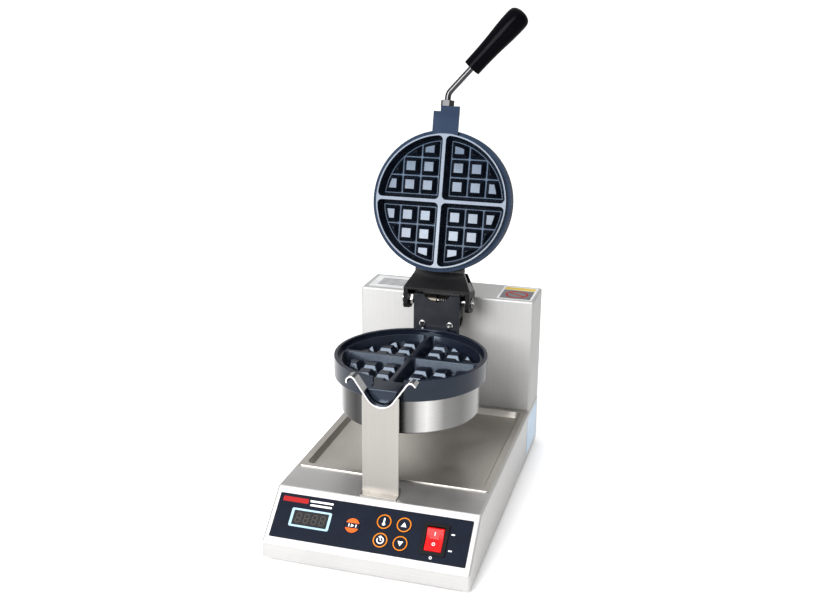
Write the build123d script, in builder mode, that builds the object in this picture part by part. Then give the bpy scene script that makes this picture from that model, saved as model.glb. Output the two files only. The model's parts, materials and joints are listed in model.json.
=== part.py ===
from build123d import *
from math import atan2, cos, hypot, radians, sin, tan
import os

os.makedirs("parts", exist_ok=True)

# Rotary waffle baker: a tilt-open, turn-over waffle iron on a stainless base with a control panel.
# Millimetres, +Z up, front of the machine towards -Y, origin on the floor under the middle of the
# overall box.

# ---------------------------------------------------------------- driving dimensions: base and tower
BASE_WIDTH = 250.0
BASE_DEPTH = 428.0
FOOT_HEIGHT = 6.0
FOOT_RADIUS = 12.0
FOOT_INSET = 32.0
LIP_HEIGHT = 19.5
PANEL_RUN = 53.7
DECK_HEIGHT = 66.65
TOWER_DEPTH = 69.0
TOWER_TOP = 228.5
TOWER_INSET = 1.0
SHEET = 1.5
EDGE_RADIUS = 3.0
FLANGE_WIDTH = 12.0
FIT_GAP = 0.3

# ---------------------------------------------------------------- driving dimensions: iron and hinge
AXIS_HEIGHT = 196.0
IRON_DISTANCE = 189.0
HINGE_DISTANCE = 322.5
HINGE_HEIGHT = 230.5
OPEN_ANGLE = 103.5

RING_RADIUS = 96.0
LOWER_RING_DEPTH = 21.0
LIP_RISE = 5.5
LIP_INNER_RADIUS = 91.3
UPPER_RING_RADIUS = 94.0
UPPER_RING_DEPTH = 26.5
SPIGOT_RADIUS = 88.6
MATING_GAP = 0.3
CAVITY_DEPTH = 15.0
FLOOR_RADIUS = 81.9
WALL_TAPER = 16.0
RIB_HALF_FOOT = 7.0
POCKET_CORNER = 1.0
STUD_PITCH = 24.7
STUD_FOOT = 22.0
STUD_HEIGHT = 9.0
STUD_TAPER = 26.0
STUD_CORNER = 1.5
STUDS_PER_SIDE = 3
CHANNEL_EDGE = 2.2
STUD_FIELD_RADIUS = 79.7

COVER_RADIUS = 87.0
COVER_SHEET = 1.2
LOWER_COVER_HEIGHT = 45.0
UPPER_COVER_HEIGHT = 38.0
COVER_SCREW_CIRCLE = 72.0
COVER_SCREW_ANGLES = (90, 210, 330)
HEATER_CIRCLE = 50.0
HEATER_TUBE = 4.0
HEAT_DISC_RADIUS = 61.0

LUG_RADIUS = 17.5
LUG_FRONT = 114.0
CRADLE_GAP = 0.3
BLOCK_SHORT = 118.0
BLOCK_LONG = 125.0
BLOCK_STEP = -8.0
HANDLE_DEPTH = 8.0
ROD_RADIUS = 4.0
GRIP_BASE = (27.2, 176.0)
GRIP_LEAN = 40.4
GRIP_LENGTH = 97.0

SUPPORT_DISTANCE = 65.0
SUPPORT_WIDTH = 44.8
SUPPORT_SHEET = 2.0
BAND_DEPTH = 15.0
CRADLE_HALF_ANGLE = 55.0
LOOP_RADIUS = 5.5
LOOP_OFFSET = (36.0, 9.5)

SHAFT_RADIUS = 15.0
SHAFT_BORE = 10.0
BUSH_RADIUS = 19.0
PIVOT_RADIUS = 4.0
PLATE_DISTANCE = 311.0
PLATE_SHEET = 3.0
PLATE_HALF_WIDTH = 32.0
PLATE_TOP = 240.5
EAR_INNER = 40.0
EAR_OUTER = 46.0
RUNNING_GAP = 0.05
SCREW_GAP = 0.1

# ---------------------------------------------------------------- driving dimensions: controls
OVERLAY_SHEET = 1.0
OVERLAY_SIZE = (236.0, 54.6)
OVERLAY_CENTRE = (0.0, 35.2)
DISPLAY_CENTRE = (-73.2, 34.6)
DISPLAY_FRAME = (49.8, 22.4)
DISPLAY_WINDOW = (43.2, 17.8)
SWITCH_CENTRE = (77.5, 34.5)
SWITCH_BEZEL = (30.2, 37.1)
SWITCH_BODY = (24.6, 32.6)
ROCKER_SIZE = (20.0, 28.4)
ROCKER_PIVOT_DEPTH = 5.0
ROCKER_WELL = 13.5
ROCKER_TRAVEL = 16.0
BUTTON_RADIUS = 9.0
BUTTONS = {
    "start_button": (-21.3, 35.3),
    "temperature_button": (15.0, 45.7),
    "timer_button": (15.4, 23.6),
    "up_button": (39.0, 45.6),
    "down_button": (39.2, 23.5),
}
BOARD_DROP = 12.0
BOARD_SHEET = 1.6

TRAY_SIZE = (244.0, 251.0)
TRAY_FRONT = 107.5
TRAY_RIM = 9.0
TRAY_DROP = 8.0
GLAND_X = 82.0
GLAND_HEIGHT = 32.0
GLAND_REACH = 14.0
GLAND_BORE = 4.5

# ---------------------------------------------------------------- derived places
OVERALL_DEPTH = BASE_DEPTH + GLAND_REACH
Y_FRONT = -OVERALL_DEPTH / 2
Y_REAR = Y_FRONT + BASE_DEPTH
HALF_WIDTH = BASE_WIDTH / 2
Z_BASE = FOOT_HEIGHT
Z_DECK = Z_BASE + DECK_HEIGHT
Z_AXIS = Z_BASE + AXIS_HEIGHT
Z_TOWER = Z_BASE + TOWER_TOP
Y_TOWER = Y_REAR - TOWER_DEPTH
Y_IRON = Y_FRONT + IRON_DISTANCE
Y_HINGE = Y_FRONT + HINGE_DISTANCE
Z_HINGE = Z_BASE + HINGE_HEIGHT
Y_PLATE = Y_FRONT + PLATE_DISTANCE
Y_SUPPORT = Y_FRONT + SUPPORT_DISTANCE
Y_MID = (Y_FRONT + Y_REAR) / 2

PANEL_ANGLE = atan2(DECK_HEIGHT - LIP_HEIGHT, PANEL_RUN)
HINGE_BACK = HINGE_DISTANCE - IRON_DISTANCE
HINGE_RISE = HINGE_HEIGHT - AXIS_HEIGHT
LEAN = radians(OPEN_ANGLE - 90)

# The panel's local Y runs up the slope. Both iron faces look out of their cavities along local Z,
# and the upper one's local Y points at the handle.
panel = Plane(
    origin=(0, Y_FRONT, Z_BASE + LIP_HEIGHT),
    x_dir=(1, 0, 0),
    z_dir=(0, -sin(PANEL_ANGLE), cos(PANEL_ANGLE)),
)
lower_face = Plane(origin=(0, Y_IRON, Z_AXIS), x_dir=(1, 0, 0), z_dir=(0, 0, 1))
upper_face = Plane(
    origin=(
        0,
        Y_HINGE + HINGE_BACK * sin(LEAN) - HINGE_RISE * cos(LEAN),
        Z_HINGE + HINGE_BACK * cos(LEAN) + HINGE_RISE * sin(LEAN),
    ),
    x_dir=(1, 0, 0),
    z_dir=(0, -cos(LEAN), sin(LEAN)),
)


def facing_front(y):
    """Plane at depth y that looks forward: local X is X, local Y is Z."""
    return Plane(origin=(0, y, 0), x_dir=(1, 0, 0), z_dir=(0, -1, 0))


def facing_right(x):
    """Plane at x that looks to +X: local X is Y, local Y is Z."""
    return Plane(origin=(x, 0, 0), x_dir=(0, 1, 0), z_dir=(1, 0, 0))


def across(face, distance):
    """Plane across an iron half at a distance along its local Y; its local Y goes into the casting."""
    return Plane(origin=face.from_local_coords((0, distance, 0)), x_dir=face.x_dir, z_dir=face.y_dir)


def side_of(face, x):
    """Plane seen from the side of an iron half: local X is the face's Y, local Y its Z."""
    return Plane(origin=face.from_local_coords((x, 0, 0)), x_dir=face.y_dir, z_dir=(1, 0, 0))


def pan_screws(plane, places, head_radius, head_height, shank_radius, shank_length):
    """Pan-head screws whose heads stand on the plane and whose shanks go in behind it."""
    with BuildPart() as screws:
        with BuildSketch(plane):
            with Locations(places):
                Circle(head_radius)
        extrude(amount=head_height)
        crowns = screws.edges().group_by(Axis(plane.origin, plane.z_dir))[-1]
        fillet(crowns, radius=head_height * 0.55)
        with BuildSketch(plane):
            with Locations(places):
                Circle(shank_radius)
        extrude(amount=-shank_length)
    return screws.part


def disc(plane, radius, bottom, height, holes=(), hole_radius=1.0):
    """Disc from bottom to bottom + height along the plane's normal, with round holes."""
    with BuildPart() as plate:
        with BuildSketch(plane.offset(bottom)):
            Circle(radius)
            if holes:
                with Locations(holes):
                    Circle(hole_radius, mode=Mode.SUBTRACT)
        extrude(amount=height)
    return plate.part


def ring(plane, outer, inner, bottom, height):
    """Flat ring from bottom to bottom + height along the plane's normal."""
    with BuildPart() as band:
        with BuildSketch(plane.offset(bottom)):
            Circle(outer)
            Circle(inner, mode=Mode.SUBTRACT)
        extrude(amount=height)
    return band.part


def slab(plane, size, bottom, height, centre=(0, 0), corner=0.0, holes=(), hole_radius=1.0):
    """Rectangular plate from bottom to bottom + height along the plane's normal, with round holes."""
    with BuildPart() as plate:
        with BuildSketch(plane.offset(bottom)):
            with Locations(centre):
                if corner:
                    RectangleRounded(size[0], size[1], corner)
                else:
                    Rectangle(size[0], size[1])
            if holes:
                with Locations(holes):
                    Circle(hole_radius, mode=Mode.SUBTRACT)
        extrude(amount=height)
    return plate.part


# ---------------------------------------------------------------- base housing
tray_centre = (0, Y_FRONT + TRAY_FRONT + TRAY_SIZE[1] / 2)
tray_hole = (TRAY_SIZE[0] - 2 * TRAY_RIM + 5, TRAY_SIZE[1] - 2 * TRAY_RIM + 5)
support_screws_at = [(-11, Y_SUPPORT + 11), (11, Y_SUPPORT + 11)]
side_profile = [
    (Y_FRONT, Z_BASE),
    (Y_FRONT, Z_BASE + LIP_HEIGHT),
    (Y_FRONT + PANEL_RUN, Z_DECK),
    (Y_REAR, Z_DECK),
    (Y_REAR, Z_BASE),
]
PLATE_GAP = 0.2
BOTTOM_SHEET = 1.2

with BuildPart() as base_housing:
    with BuildSketch(Plane.YZ):
        with BuildLine():
            Polyline(side_profile, close=True)
        make_face()
    extrude(amount=HALF_WIDTH, both=True)
    fillet(base_housing.edges().filter_by_position(Axis.Z, Z_BASE + 1, Z_DECK + 1), radius=EDGE_RADIUS)
    with BuildSketch(Plane.YZ):
        with BuildLine():
            Polyline(side_profile, close=True)
        make_face()
        offset(amount=-SHEET, kind=Kind.INTERSECTION)
    extrude(amount=HALF_WIDTH - SHEET, both=True, mode=Mode.SUBTRACT)
    with BuildSketch(Plane.XY.offset(Z_BASE)):
        with Locations((0, Y_MID)):
            Rectangle(BASE_WIDTH - 2 * SHEET, BASE_DEPTH - 2 * SHEET)
    extrude(amount=SHEET, mode=Mode.SUBTRACT)
    with BuildSketch(Plane.XY.offset(Z_BASE + BOTTOM_SHEET + PLATE_GAP)):
        with Locations((0, Y_MID)):
            Rectangle(BASE_WIDTH - SHEET, BASE_DEPTH - SHEET)
            Rectangle(BASE_WIDTH - 2 * FLANGE_WIDTH, BASE_DEPTH - 2 * FLANGE_WIDTH, mode=Mode.SUBTRACT)
    extrude(amount=SHEET)
    with BuildSketch(panel.offset(-2 * SHEET)):
        with Locations(*BUTTONS.values()):
            Circle(BUTTON_RADIUS + FIT_GAP)
        with Locations(DISPLAY_CENTRE):
            Rectangle(DISPLAY_WINDOW[0] + 3, DISPLAY_WINDOW[1] + 1.6)
        with Locations(SWITCH_CENTRE):
            Rectangle(SWITCH_BODY[0] + 2 * FIT_GAP, SWITCH_BODY[1] + 2 * FIT_GAP)
    extrude(amount=3 * SHEET, mode=Mode.SUBTRACT)
    with BuildSketch(Plane.XY.offset(Z_DECK)):
        with Locations(tray_centre):
            RectangleRounded(tray_hole[0], tray_hole[1], 9)
        with Locations((0, Y_TOWER + TOWER_DEPTH / 2)):
            Rectangle(BASE_WIDTH - 50, TOWER_DEPTH - 20)
        with Locations(support_screws_at):
            Circle(2.5 + SCREW_GAP)
    extrude(amount=-2 * SHEET, mode=Mode.SUBTRACT)
    with BuildSketch(facing_front(Y_REAR)):
        with Locations((GLAND_X, Z_BASE + GLAND_HEIGHT)):
            Circle(8 + SCREW_GAP)
    extrude(amount=2 * SHEET, mode=Mode.SUBTRACT)
base_housing.part.label = "base_housing"

# ---------------------------------------------------------------- base bottom plate, feet and their screws
plate_size = (BASE_WIDTH - 2 * SHEET - 2 * PLATE_GAP, BASE_DEPTH - 2 * SHEET - 2 * PLATE_GAP)
foot_places = [
    (x, y)
    for x in (-HALF_WIDTH + FOOT_INSET, HALF_WIDTH - FOOT_INSET)
    for y in (Y_FRONT + FOOT_INSET, Y_REAR - FOOT_INSET)
]
rim_screw_places = [
    (x, y)
    for x in (-HALF_WIDTH + FLANGE_WIDTH / 2 + 1, HALF_WIDTH - FLANGE_WIDTH / 2 - 1)
    for y in (Y_FRONT + 80, Y_MID, Y_REAR - 80)
]
rim_screw_radius = 1.5
foot_screw_radius = 2.0

with BuildPart() as base_bottom_plate:
    with BuildSketch(Plane.XY.offset(Z_BASE)):
        with Locations((0, Y_MID)):
            Rectangle(plate_size[0], plate_size[1])
        with Locations(rim_screw_places):
            Circle(rim_screw_radius + SCREW_GAP, mode=Mode.SUBTRACT)
        with Locations(foot_places):
            Circle(foot_screw_radius + SCREW_GAP, mode=Mode.SUBTRACT)
        with Locations((0, Y_MID + 60)):
            with GridLocations(9, 0, 12, 1):
                SlotOverall(60, 3.5, rotation=90, mode=Mode.SUBTRACT)
    extrude(amount=BOTTOM_SHEET)
base_bottom_plate.part.label = "base_bottom_plate"

with BuildPart() as bottom_screws:
    with BuildSketch(Plane.XY.offset(Z_BASE)):
        with Locations(rim_screw_places):
            Circle(2.8)
    extrude(amount=-1.6)
    with BuildSketch(Plane.XY.offset(Z_BASE)):
        with Locations(rim_screw_places):
            Circle(rim_screw_radius)
    extrude(amount=BOTTOM_SHEET + PLATE_GAP)
bottom_screws.part.label = "bottom_screws"

with BuildPart() as rubber_feet:
    with BuildSketch(Plane.XY.offset(Z_BASE)):
        with Locations(foot_places):
            Circle(FOOT_RADIUS)
    extrude(amount=-FOOT_HEIGHT, taper=10)
    with BuildSketch(Plane.XY):
        with Locations(foot_places):
            Circle(5)
    extrude(amount=FOOT_HEIGHT - 2, mode=Mode.SUBTRACT)
    with BuildSketch(Plane.XY):
        with Locations(foot_places):
            Circle(foot_screw_radius + SCREW_GAP)
    extrude(amount=FOOT_HEIGHT, mode=Mode.SUBTRACT)
rubber_feet.part.label = "rubber_feet"

with BuildPart() as foot_screws:
    with BuildSketch(Plane.XY.offset(FOOT_HEIGHT - 2)):
        with Locations(foot_places):
            Circle(4)
    extrude(amount=-2)
    with BuildSketch(Plane.XY.offset(FOOT_HEIGHT - 2)):
        with Locations(foot_places):
            Circle(foot_screw_radius)
    extrude(amount=9)
foot_screws.part.label = "foot_screws"

# ---------------------------------------------------------------- drip tray
with BuildPart() as drip_tray:
    with BuildSketch(Plane.XY.offset(Z_DECK)):
        with Locations(tray_centre):
            RectangleRounded(TRAY_SIZE[0], TRAY_SIZE[1] - 0.5, 5)
    extrude(amount=SHEET)
    with BuildSketch(Plane.XY.offset(Z_DECK)):
        with Locations(tray_centre):
            RectangleRounded(tray_hole[0] - 2, tray_hole[1] - 2, 8)
    extrude(amount=-TRAY_DROP, taper=25)
    with BuildSketch(Plane.XY.offset(Z_DECK + SHEET)):
        with Locations(tray_centre):
            RectangleRounded(tray_hole[0] - 2 - 1.5 * SHEET, tray_hole[1] - 2 - 1.5 * SHEET, 7)
    extrude(amount=-TRAY_DROP, taper=25, mode=Mode.SUBTRACT)
    fillet(drip_tray.edges().group_by(Axis.Z)[-1], radius=0.6)
drip_tray.part.label = "drip_tray"

# ---------------------------------------------------------------- front support: plate, curled yoke, screws
lug_clear = LUG_RADIUS + CRADLE_GAP
band_radius = lug_clear + SUPPORT_SHEET / 2
band_outer = lug_clear + SUPPORT_SHEET + RUNNING_GAP
half = radians(CRADLE_HALF_ANGLE)
support_front = facing_front(Y_SUPPORT)

with BuildPart() as support_plate:
    with BuildSketch(support_front):
        with BuildLine():
            Polyline(
                (-SUPPORT_WIDTH / 2, Z_DECK),
                (-SUPPORT_WIDTH / 2, Z_AXIS - 5),
                (SUPPORT_WIDTH / 2, Z_AXIS - 5),
                (SUPPORT_WIDTH / 2, Z_DECK),
                close=True,
            )
        make_face()
        with Locations((0, Z_AXIS)):
            Circle(band_outer, mode=Mode.SUBTRACT)
        with BuildLine():
            tangent_x = band_outer * sin(half)
            tangent_z = Z_AXIS - band_outer * cos(half)
            reach = 30
            Polyline(
                (-tangent_x, tangent_z),
                (tangent_x, tangent_z),
                (tangent_x + reach * cos(half), tangent_z + reach * sin(half)),
                (-tangent_x - reach * cos(half), tangent_z + reach * sin(half)),
                close=True,
            )
        make_face(mode=Mode.SUBTRACT)
    extrude(amount=-SUPPORT_SHEET)
    with BuildSketch(Plane.XY.offset(Z_DECK)):
        with Locations((0, Y_SUPPORT - 4)):
            Rectangle(SUPPORT_WIDTH, 12)
        with Locations((0, Y_SUPPORT + 10)):
            Rectangle(SUPPORT_WIDTH - 6, 20)
    extrude(amount=SUPPORT_SHEET)
    with BuildSketch(Plane.XY.offset(Z_DECK)):
        with Locations(support_screws_at):
            Circle(2.5 + SCREW_GAP)
    extrude(amount=SUPPORT_SHEET, mode=Mode.SUBTRACT)
support_plate.part.label = "support_plate"

with BuildPart() as support_yoke:
    with BuildLine(support_front) as band_path:
        cradle = CenterArc((0, Z_AXIS), band_radius, 270 - CRADLE_HALF_ANGLE, 2 * CRADLE_HALF_ANGLE)
        loop_z = Z_AXIS + LOOP_OFFSET[1]
        left_loop = CenterArc((-LOOP_OFFSET[0], loop_z), LOOP_RADIUS, 205, -(205 - 90 + CRADLE_HALF_ANGLE))
        right_loop = CenterArc((LOOP_OFFSET[0], loop_z), LOOP_RADIUS, 90 + CRADLE_HALF_ANGLE, -77 - CRADLE_HALF_ANGLE)
        Line(left_loop @ 1, cradle @ 0)
        Line(cradle @ 1, right_loop @ 0)
    with BuildSketch(Plane(origin=left_loop @ 0, x_dir=(0, 1, 0), z_dir=left_loop % 0)):
        with Locations((BAND_DEPTH / 2, 0)):
            Rectangle(BAND_DEPTH, SUPPORT_SHEET)
    sweep(transition=Transition.ROUND)
support_yoke.part.label = "support_yoke"

with BuildPart() as support_screws:
    add(pan_screws(Plane.XY.offset(Z_DECK + SUPPORT_SHEET), support_screws_at, 4.5, 2.8, 2.5, 10))
support_screws.part.label = "support_screws"

# ---------------------------------------------------------------- control panel: overlay, display, switch
with BuildPart() as control_overlay:
    with BuildSketch(panel):
        with Locations(OVERLAY_CENTRE):
            RectangleRounded(OVERLAY_SIZE[0], OVERLAY_SIZE[1], 1.5)
        with Locations(*BUTTONS.values()):
            Circle(BUTTON_RADIUS + FIT_GAP, mode=Mode.SUBTRACT)
        with Locations(DISPLAY_CENTRE):
            Rectangle(DISPLAY_WINDOW[0] + 1, DISPLAY_WINDOW[1] + 1, mode=Mode.SUBTRACT)
        with Locations(SWITCH_CENTRE):
            Rectangle(SWITCH_BODY[0] + 2 * FIT_GAP, SWITCH_BODY[1] + 2 * FIT_GAP, mode=Mode.SUBTRACT)
    extrude(amount=OVERLAY_SHEET)
control_overlay.part.label = "control_overlay"

with BuildPart() as display_frame:
    with BuildSketch(panel.offset(OVERLAY_SHEET)):
        with Locations(DISPLAY_CENTRE):
            RectangleRounded(DISPLAY_FRAME[0], DISPLAY_FRAME[1], 2.2)
            RectangleRounded(DISPLAY_WINDOW[0], DISPLAY_WINDOW[1], 0.8, mode=Mode.SUBTRACT)
    extrude(amount=1.0)
    fillet(display_frame.edges().group_by(Axis(panel.origin, panel.z_dir))[-1], radius=0.4)
display_frame.part.label = "display_frame"

with BuildPart() as display_lens:
    with BuildSketch(panel.offset(0.1)):
        with Locations(DISPLAY_CENTRE):
            Rectangle(DISPLAY_WINDOW[0] - 2 * PLATE_GAP, DISPLAY_WINDOW[1] - 2 * PLATE_GAP)
    extrude(amount=1.2)
display_lens.part.label = "display_lens"

with BuildPart() as display_module:
    with BuildSketch(panel.offset(-BOARD_DROP)):
        with Locations(DISPLAY_CENTRE):
            Rectangle(DISPLAY_WINDOW[0], DISPLAY_WINDOW[1])
    extrude(amount=BOARD_DROP)
display_module.part.label = "display_module"

with BuildPart() as switch_bezel:
    with BuildSketch(panel.offset(OVERLAY_SHEET)):
        with Locations(SWITCH_CENTRE):
            RectangleRounded(SWITCH_BEZEL[0], SWITCH_BEZEL[1], 1.5)
            Rectangle(ROCKER_SIZE[0] + 0.8, ROCKER_SIZE[1] + 1.0, mode=Mode.SUBTRACT)
    extrude(amount=1.8)
    fillet(switch_bezel.edges().group_by(Axis(panel.origin, panel.z_dir))[-1], radius=0.5)
switch_bezel.part.label = "switch_bezel"

pivot_z = -ROCKER_PIVOT_DEPTH
switch_side = Plane(origin=panel.from_local_coords((SWITCH_CENTRE[0], SWITCH_CENTRE[1], 0)),
                    x_dir=panel.y_dir, z_dir=(1, 0, 0))
rocker_radius = hypot(ROCKER_SIZE[1] / 2, ROCKER_PIVOT_DEPTH)
rocker_stub_reach = ROCKER_SIZE[0] / 2 + 1.6

with BuildPart() as switch_body:
    with BuildSketch(panel.offset(OVERLAY_SHEET)):
        with Locations(SWITCH_CENTRE):
            Rectangle(SWITCH_BODY[0], SWITCH_BODY[1])
    extrude(amount=-23)
    with BuildSketch(panel.offset(OVERLAY_SHEET)):
        with Locations(SWITCH_CENTRE):
            Rectangle(ROCKER_SIZE[0] + 0.8, 2 * rocker_radius + 0.8)
    extrude(amount=-ROCKER_WELL, mode=Mode.SUBTRACT)
    with BuildSketch(switch_side):
        with Locations((0, pivot_z)):
            Circle(1.5 + RUNNING_GAP)
    extrude(amount=rocker_stub_reach + 0.1, both=True, mode=Mode.SUBTRACT)
    with BuildSketch(panel.offset(OVERLAY_SHEET - 23)):
        with Locations(SWITCH_CENTRE):
            with GridLocations(7, 0, 3, 1):
                Rectangle(0.8, 6.3)
    extrude(amount=-8)
switch_body.part.label = "switch_body"

# The lower half of the rocker is pressed flush at rest (off) and the upper half stands up.
rocker_rise = 12 * tan(radians(ROCKER_TRAVEL))
with BuildPart() as power_rocker:
    with BuildSketch(switch_side):
        with BuildLine():
            Polyline(
                (-20, 1.9),
                (0, 1.9),
                (12, 1.9 + rocker_rise),
                (20, 1.9 + rocker_rise),
                (20, pivot_z - 2.0),
                (-20, pivot_z - 2.0),
                close=True,
            )
        make_face()
        with Locations((0, pivot_z)):
            Circle(rocker_radius, mode=Mode.INTERSECT)
    extrude(amount=ROCKER_SIZE[0] / 2, both=True)
    with BuildSketch(switch_side):
        with Locations((0, pivot_z)):
            Circle(1.5)
    extrude(amount=rocker_stub_reach, both=True)
power_rocker.part.label = "power_rocker"

# ---------------------------------------------------------------- push buttons and what they press
BUTTON_PROUD = 0.5
BUTTON_NECK = 1.7
button_parts = []
for name, place in BUTTONS.items():
    with BuildPart() as push_button:
        with BuildSketch(panel.offset(-BUTTON_NECK)):
            with Locations(place):
                Circle(BUTTON_RADIUS)
        extrude(amount=BUTTON_NECK + OVERLAY_SHEET + BUTTON_PROUD)
        fillet(push_button.edges().group_by(Axis(panel.origin, panel.z_dir))[-1], radius=0.4)
        with BuildSketch(panel.offset(-BUTTON_NECK)):
            with Locations(place):
                Circle(BUTTON_RADIUS + 1.5)
        extrude(amount=-1.3)
        with BuildSketch(panel.offset(-BUTTON_NECK)):
            with Locations(place):
                Circle(2)
        extrude(amount=-4.6)
    push_button.part.label = name
    button_parts.append(push_button)

board_size = (163.0, 56.0)
board_centre = (-23.5, 35.0)
standoff_places = [
    (board_centre[0] + dx * (board_size[0] / 2 - 5), board_centre[1] + dy * (board_size[1] / 2 - 5))
    for dx in (-1, 1)
    for dy in (-1, 1)
]
with BuildPart() as control_board:
    add(slab(panel, board_size, -BOARD_DROP - BOARD_SHEET, BOARD_SHEET, board_centre, 2))
    with BuildSketch(panel.offset(-BOARD_DROP)):
        with Locations(*BUTTONS.values()):
            Rectangle(6, 6)
    extrude(amount=3.5)
    with BuildSketch(panel.offset(-BOARD_DROP)):
        with Locations(*BUTTONS.values()):
            Circle(1.7)
    extrude(amount=4.6)
control_board.part.label = "control_board"

power_board_centre = (-50, Y_FRONT + 225)
power_board_size = (100.0, 76.0)
power_board_z = Z_BASE + 14
power_standoffs = [
    (power_board_centre[0] + dx * 44, power_board_centre[1] + dy * 32) for dx in (-1, 1) for dy in (-1, 1)
]
with BuildPart() as board_standoffs:
    with BuildSketch(panel.offset(-BOARD_DROP)):
        with Locations(*standoff_places):
            RegularPolygon(3, 6)
    extrude(amount=BOARD_DROP - SHEET)
    with BuildSketch(Plane.XY.offset(Z_BASE + BOTTOM_SHEET)):
        with Locations(*power_standoffs):
            RegularPolygon(3.5, 6)
    extrude(amount=power_board_z - Z_BASE - BOTTOM_SHEET)
board_standoffs.part.label = "board_standoffs"

with BuildPart() as power_board:
    add(slab(Plane.XY, power_board_size, power_board_z, BOARD_SHEET, power_board_centre, 2))
    component_plane = Plane.XY.offset(power_board_z + BOARD_SHEET)
    with BuildSketch(component_plane):
        with Locations((power_board_centre[0] - 22, power_board_centre[1])):
            Rectangle(42, 36)
    extrude(amount=26)
    with BuildSketch(component_plane):
        with Locations((power_board_centre[0] + 30, power_board_centre[1] + 18)):
            Rectangle(28, 12)
        with Locations((power_board_centre[0] + 30, power_board_centre[1] + 2)):
            Rectangle(28, 12)
    extrude(amount=15)
    with BuildSketch(component_plane):
        with Locations((power_board_centre[0] + 16, power_board_centre[1] - 22)):
            with GridLocations(15, 0, 2, 1):
                Circle(6)
    extrude(amount=18)
power_board.part.label = "power_board"

with BuildPart() as terminal_block:
    block_plane = Plane.XY.offset(Z_BASE + BOTTOM_SHEET)
    with BuildSketch(block_plane):
        with Locations((55, Y_REAR - 80)):
            Rectangle(48, 22)
    extrude(amount=18)
    with BuildSketch(block_plane.offset(18)):
        with Locations((55, Y_REAR - 80)):
            with GridLocations(11, 0, 4, 1):
                Circle(3.2)
    extrude(amount=-6, mode=Mode.SUBTRACT)
terminal_block.part.label = "terminal_block"

gland_wall = facing_front(Y_REAR)
gland_at = (GLAND_X, Z_BASE + GLAND_HEIGHT)
gland_inside = SHEET + 9
with BuildPart() as cable_gland:
    with BuildSketch(gland_wall):
        with Locations(gland_at):
            RegularPolygon(12, 6)
    extrude(amount=-6)
    with BuildSketch(gland_wall):
        with Locations(gland_at):
            Circle(10.5)
    extrude(amount=-GLAND_REACH)
    fillet(cable_gland.edges().group_by(Axis.Y)[-1], radius=3)
    with BuildSketch(gland_wall):
        with Locations(gland_at):
            Circle(8)
    extrude(amount=gland_inside)
    with BuildSketch(gland_wall.offset(gland_inside)):
        with Locations(gland_at):
            Circle(GLAND_BORE)
    extrude(amount=-gland_inside - GLAND_REACH, mode=Mode.SUBTRACT)
    with BuildSketch(gland_wall.offset(SHEET)):
        with Locations(gland_at):
            RegularPolygon(12, 6)
            Circle(8, mode=Mode.SUBTRACT)
    extrude(amount=5)
cable_gland.part.label = "cable_gland"

# ---------------------------------------------------------------- tower: folded housing, back cover, labels
TOWER_HALF = HALF_WIDTH - TOWER_INSET
tower_height = Z_TOWER - Z_DECK
tower_mid = (Y_TOWER + Y_REAR) / 2
back_sheet = 1.5
axis_on_front = (0, Z_AXIS)

with BuildPart() as tower_housing:
    with BuildSketch(Plane.XY.offset(Z_DECK)):
        with Locations((0, tower_mid)):
            Rectangle(2 * TOWER_HALF, TOWER_DEPTH)
    extrude(amount=tower_height)
    front_edges = tower_housing.edges().filter_by_position(Axis.Y, Y_TOWER - 1, Y_REAR - 1)
    fillet(front_edges.filter_by_position(Axis.Z, Z_DECK + 1, Z_TOWER + 1), radius=EDGE_RADIUS)
    with BuildSketch(facing_front(Y_REAR)):
        with Locations((0, Z_DECK + (tower_height - SHEET) / 2)):
            Rectangle(2 * (TOWER_HALF - SHEET), tower_height - SHEET)
    extrude(amount=TOWER_DEPTH - SHEET, mode=Mode.SUBTRACT)
    with BuildSketch(facing_front(Y_REAR - back_sheet - PLATE_GAP)):
        with Locations((0, Z_DECK + tower_height / 2)):
            Rectangle(2 * TOWER_HALF - SHEET, tower_height - SHEET)
            Rectangle(2 * (TOWER_HALF - FLANGE_WIDTH), tower_height - 2 * FLANGE_WIDTH, mode=Mode.SUBTRACT)
    extrude(amount=SHEET)
    with BuildSketch(facing_front(Y_TOWER)):
        with Locations(axis_on_front):
            Circle(BUSH_RADIUS + SCREW_GAP)
    extrude(amount=-SHEET, mode=Mode.SUBTRACT)
tower_housing.part.label = "tower_housing"

cover_size = (2 * (TOWER_HALF - SHEET - PLATE_GAP), tower_height - SHEET - 2 * PLATE_GAP)
cover_mid = Z_DECK + PLATE_GAP + cover_size[1] / 2
back_screw_places = [
    (x, z)
    for x in (-TOWER_HALF + FLANGE_WIDTH - 4, 0, TOWER_HALF - FLANGE_WIDTH + 4)
    for z in (Z_DECK + FLANGE_WIDTH - 5, Z_TOWER - FLANGE_WIDTH + 4)
]
with BuildPart() as tower_back_cover:
    with BuildSketch(facing_front(Y_REAR)):
        with Locations((0, cover_mid)):
            Rectangle(cover_size[0], cover_size[1])
        with Locations(*back_screw_places):
            Circle(rim_screw_radius + SCREW_GAP, mode=Mode.SUBTRACT)
        with Locations((0, cover_mid - 30)):
            with GridLocations(10, 42, 15, 2):
                SlotOverall(34, 4, rotation=90, mode=Mode.SUBTRACT)
    extrude(amount=back_sheet)
tower_back_cover.part.label = "tower_back_cover"

with BuildPart() as back_cover_screws:
    rear_plane = Plane(origin=(0, Y_REAR, 0), x_dir=(-1, 0, 0), z_dir=(0, 1, 0))
    mirrored_places = [(-x, z) for x, z in back_screw_places]
    add(pan_screws(rear_plane, mirrored_places, 3.0, 2.0, rim_screw_radius, back_sheet + PLATE_GAP))
back_cover_screws.part.label = "back_cover_screws"

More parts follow.
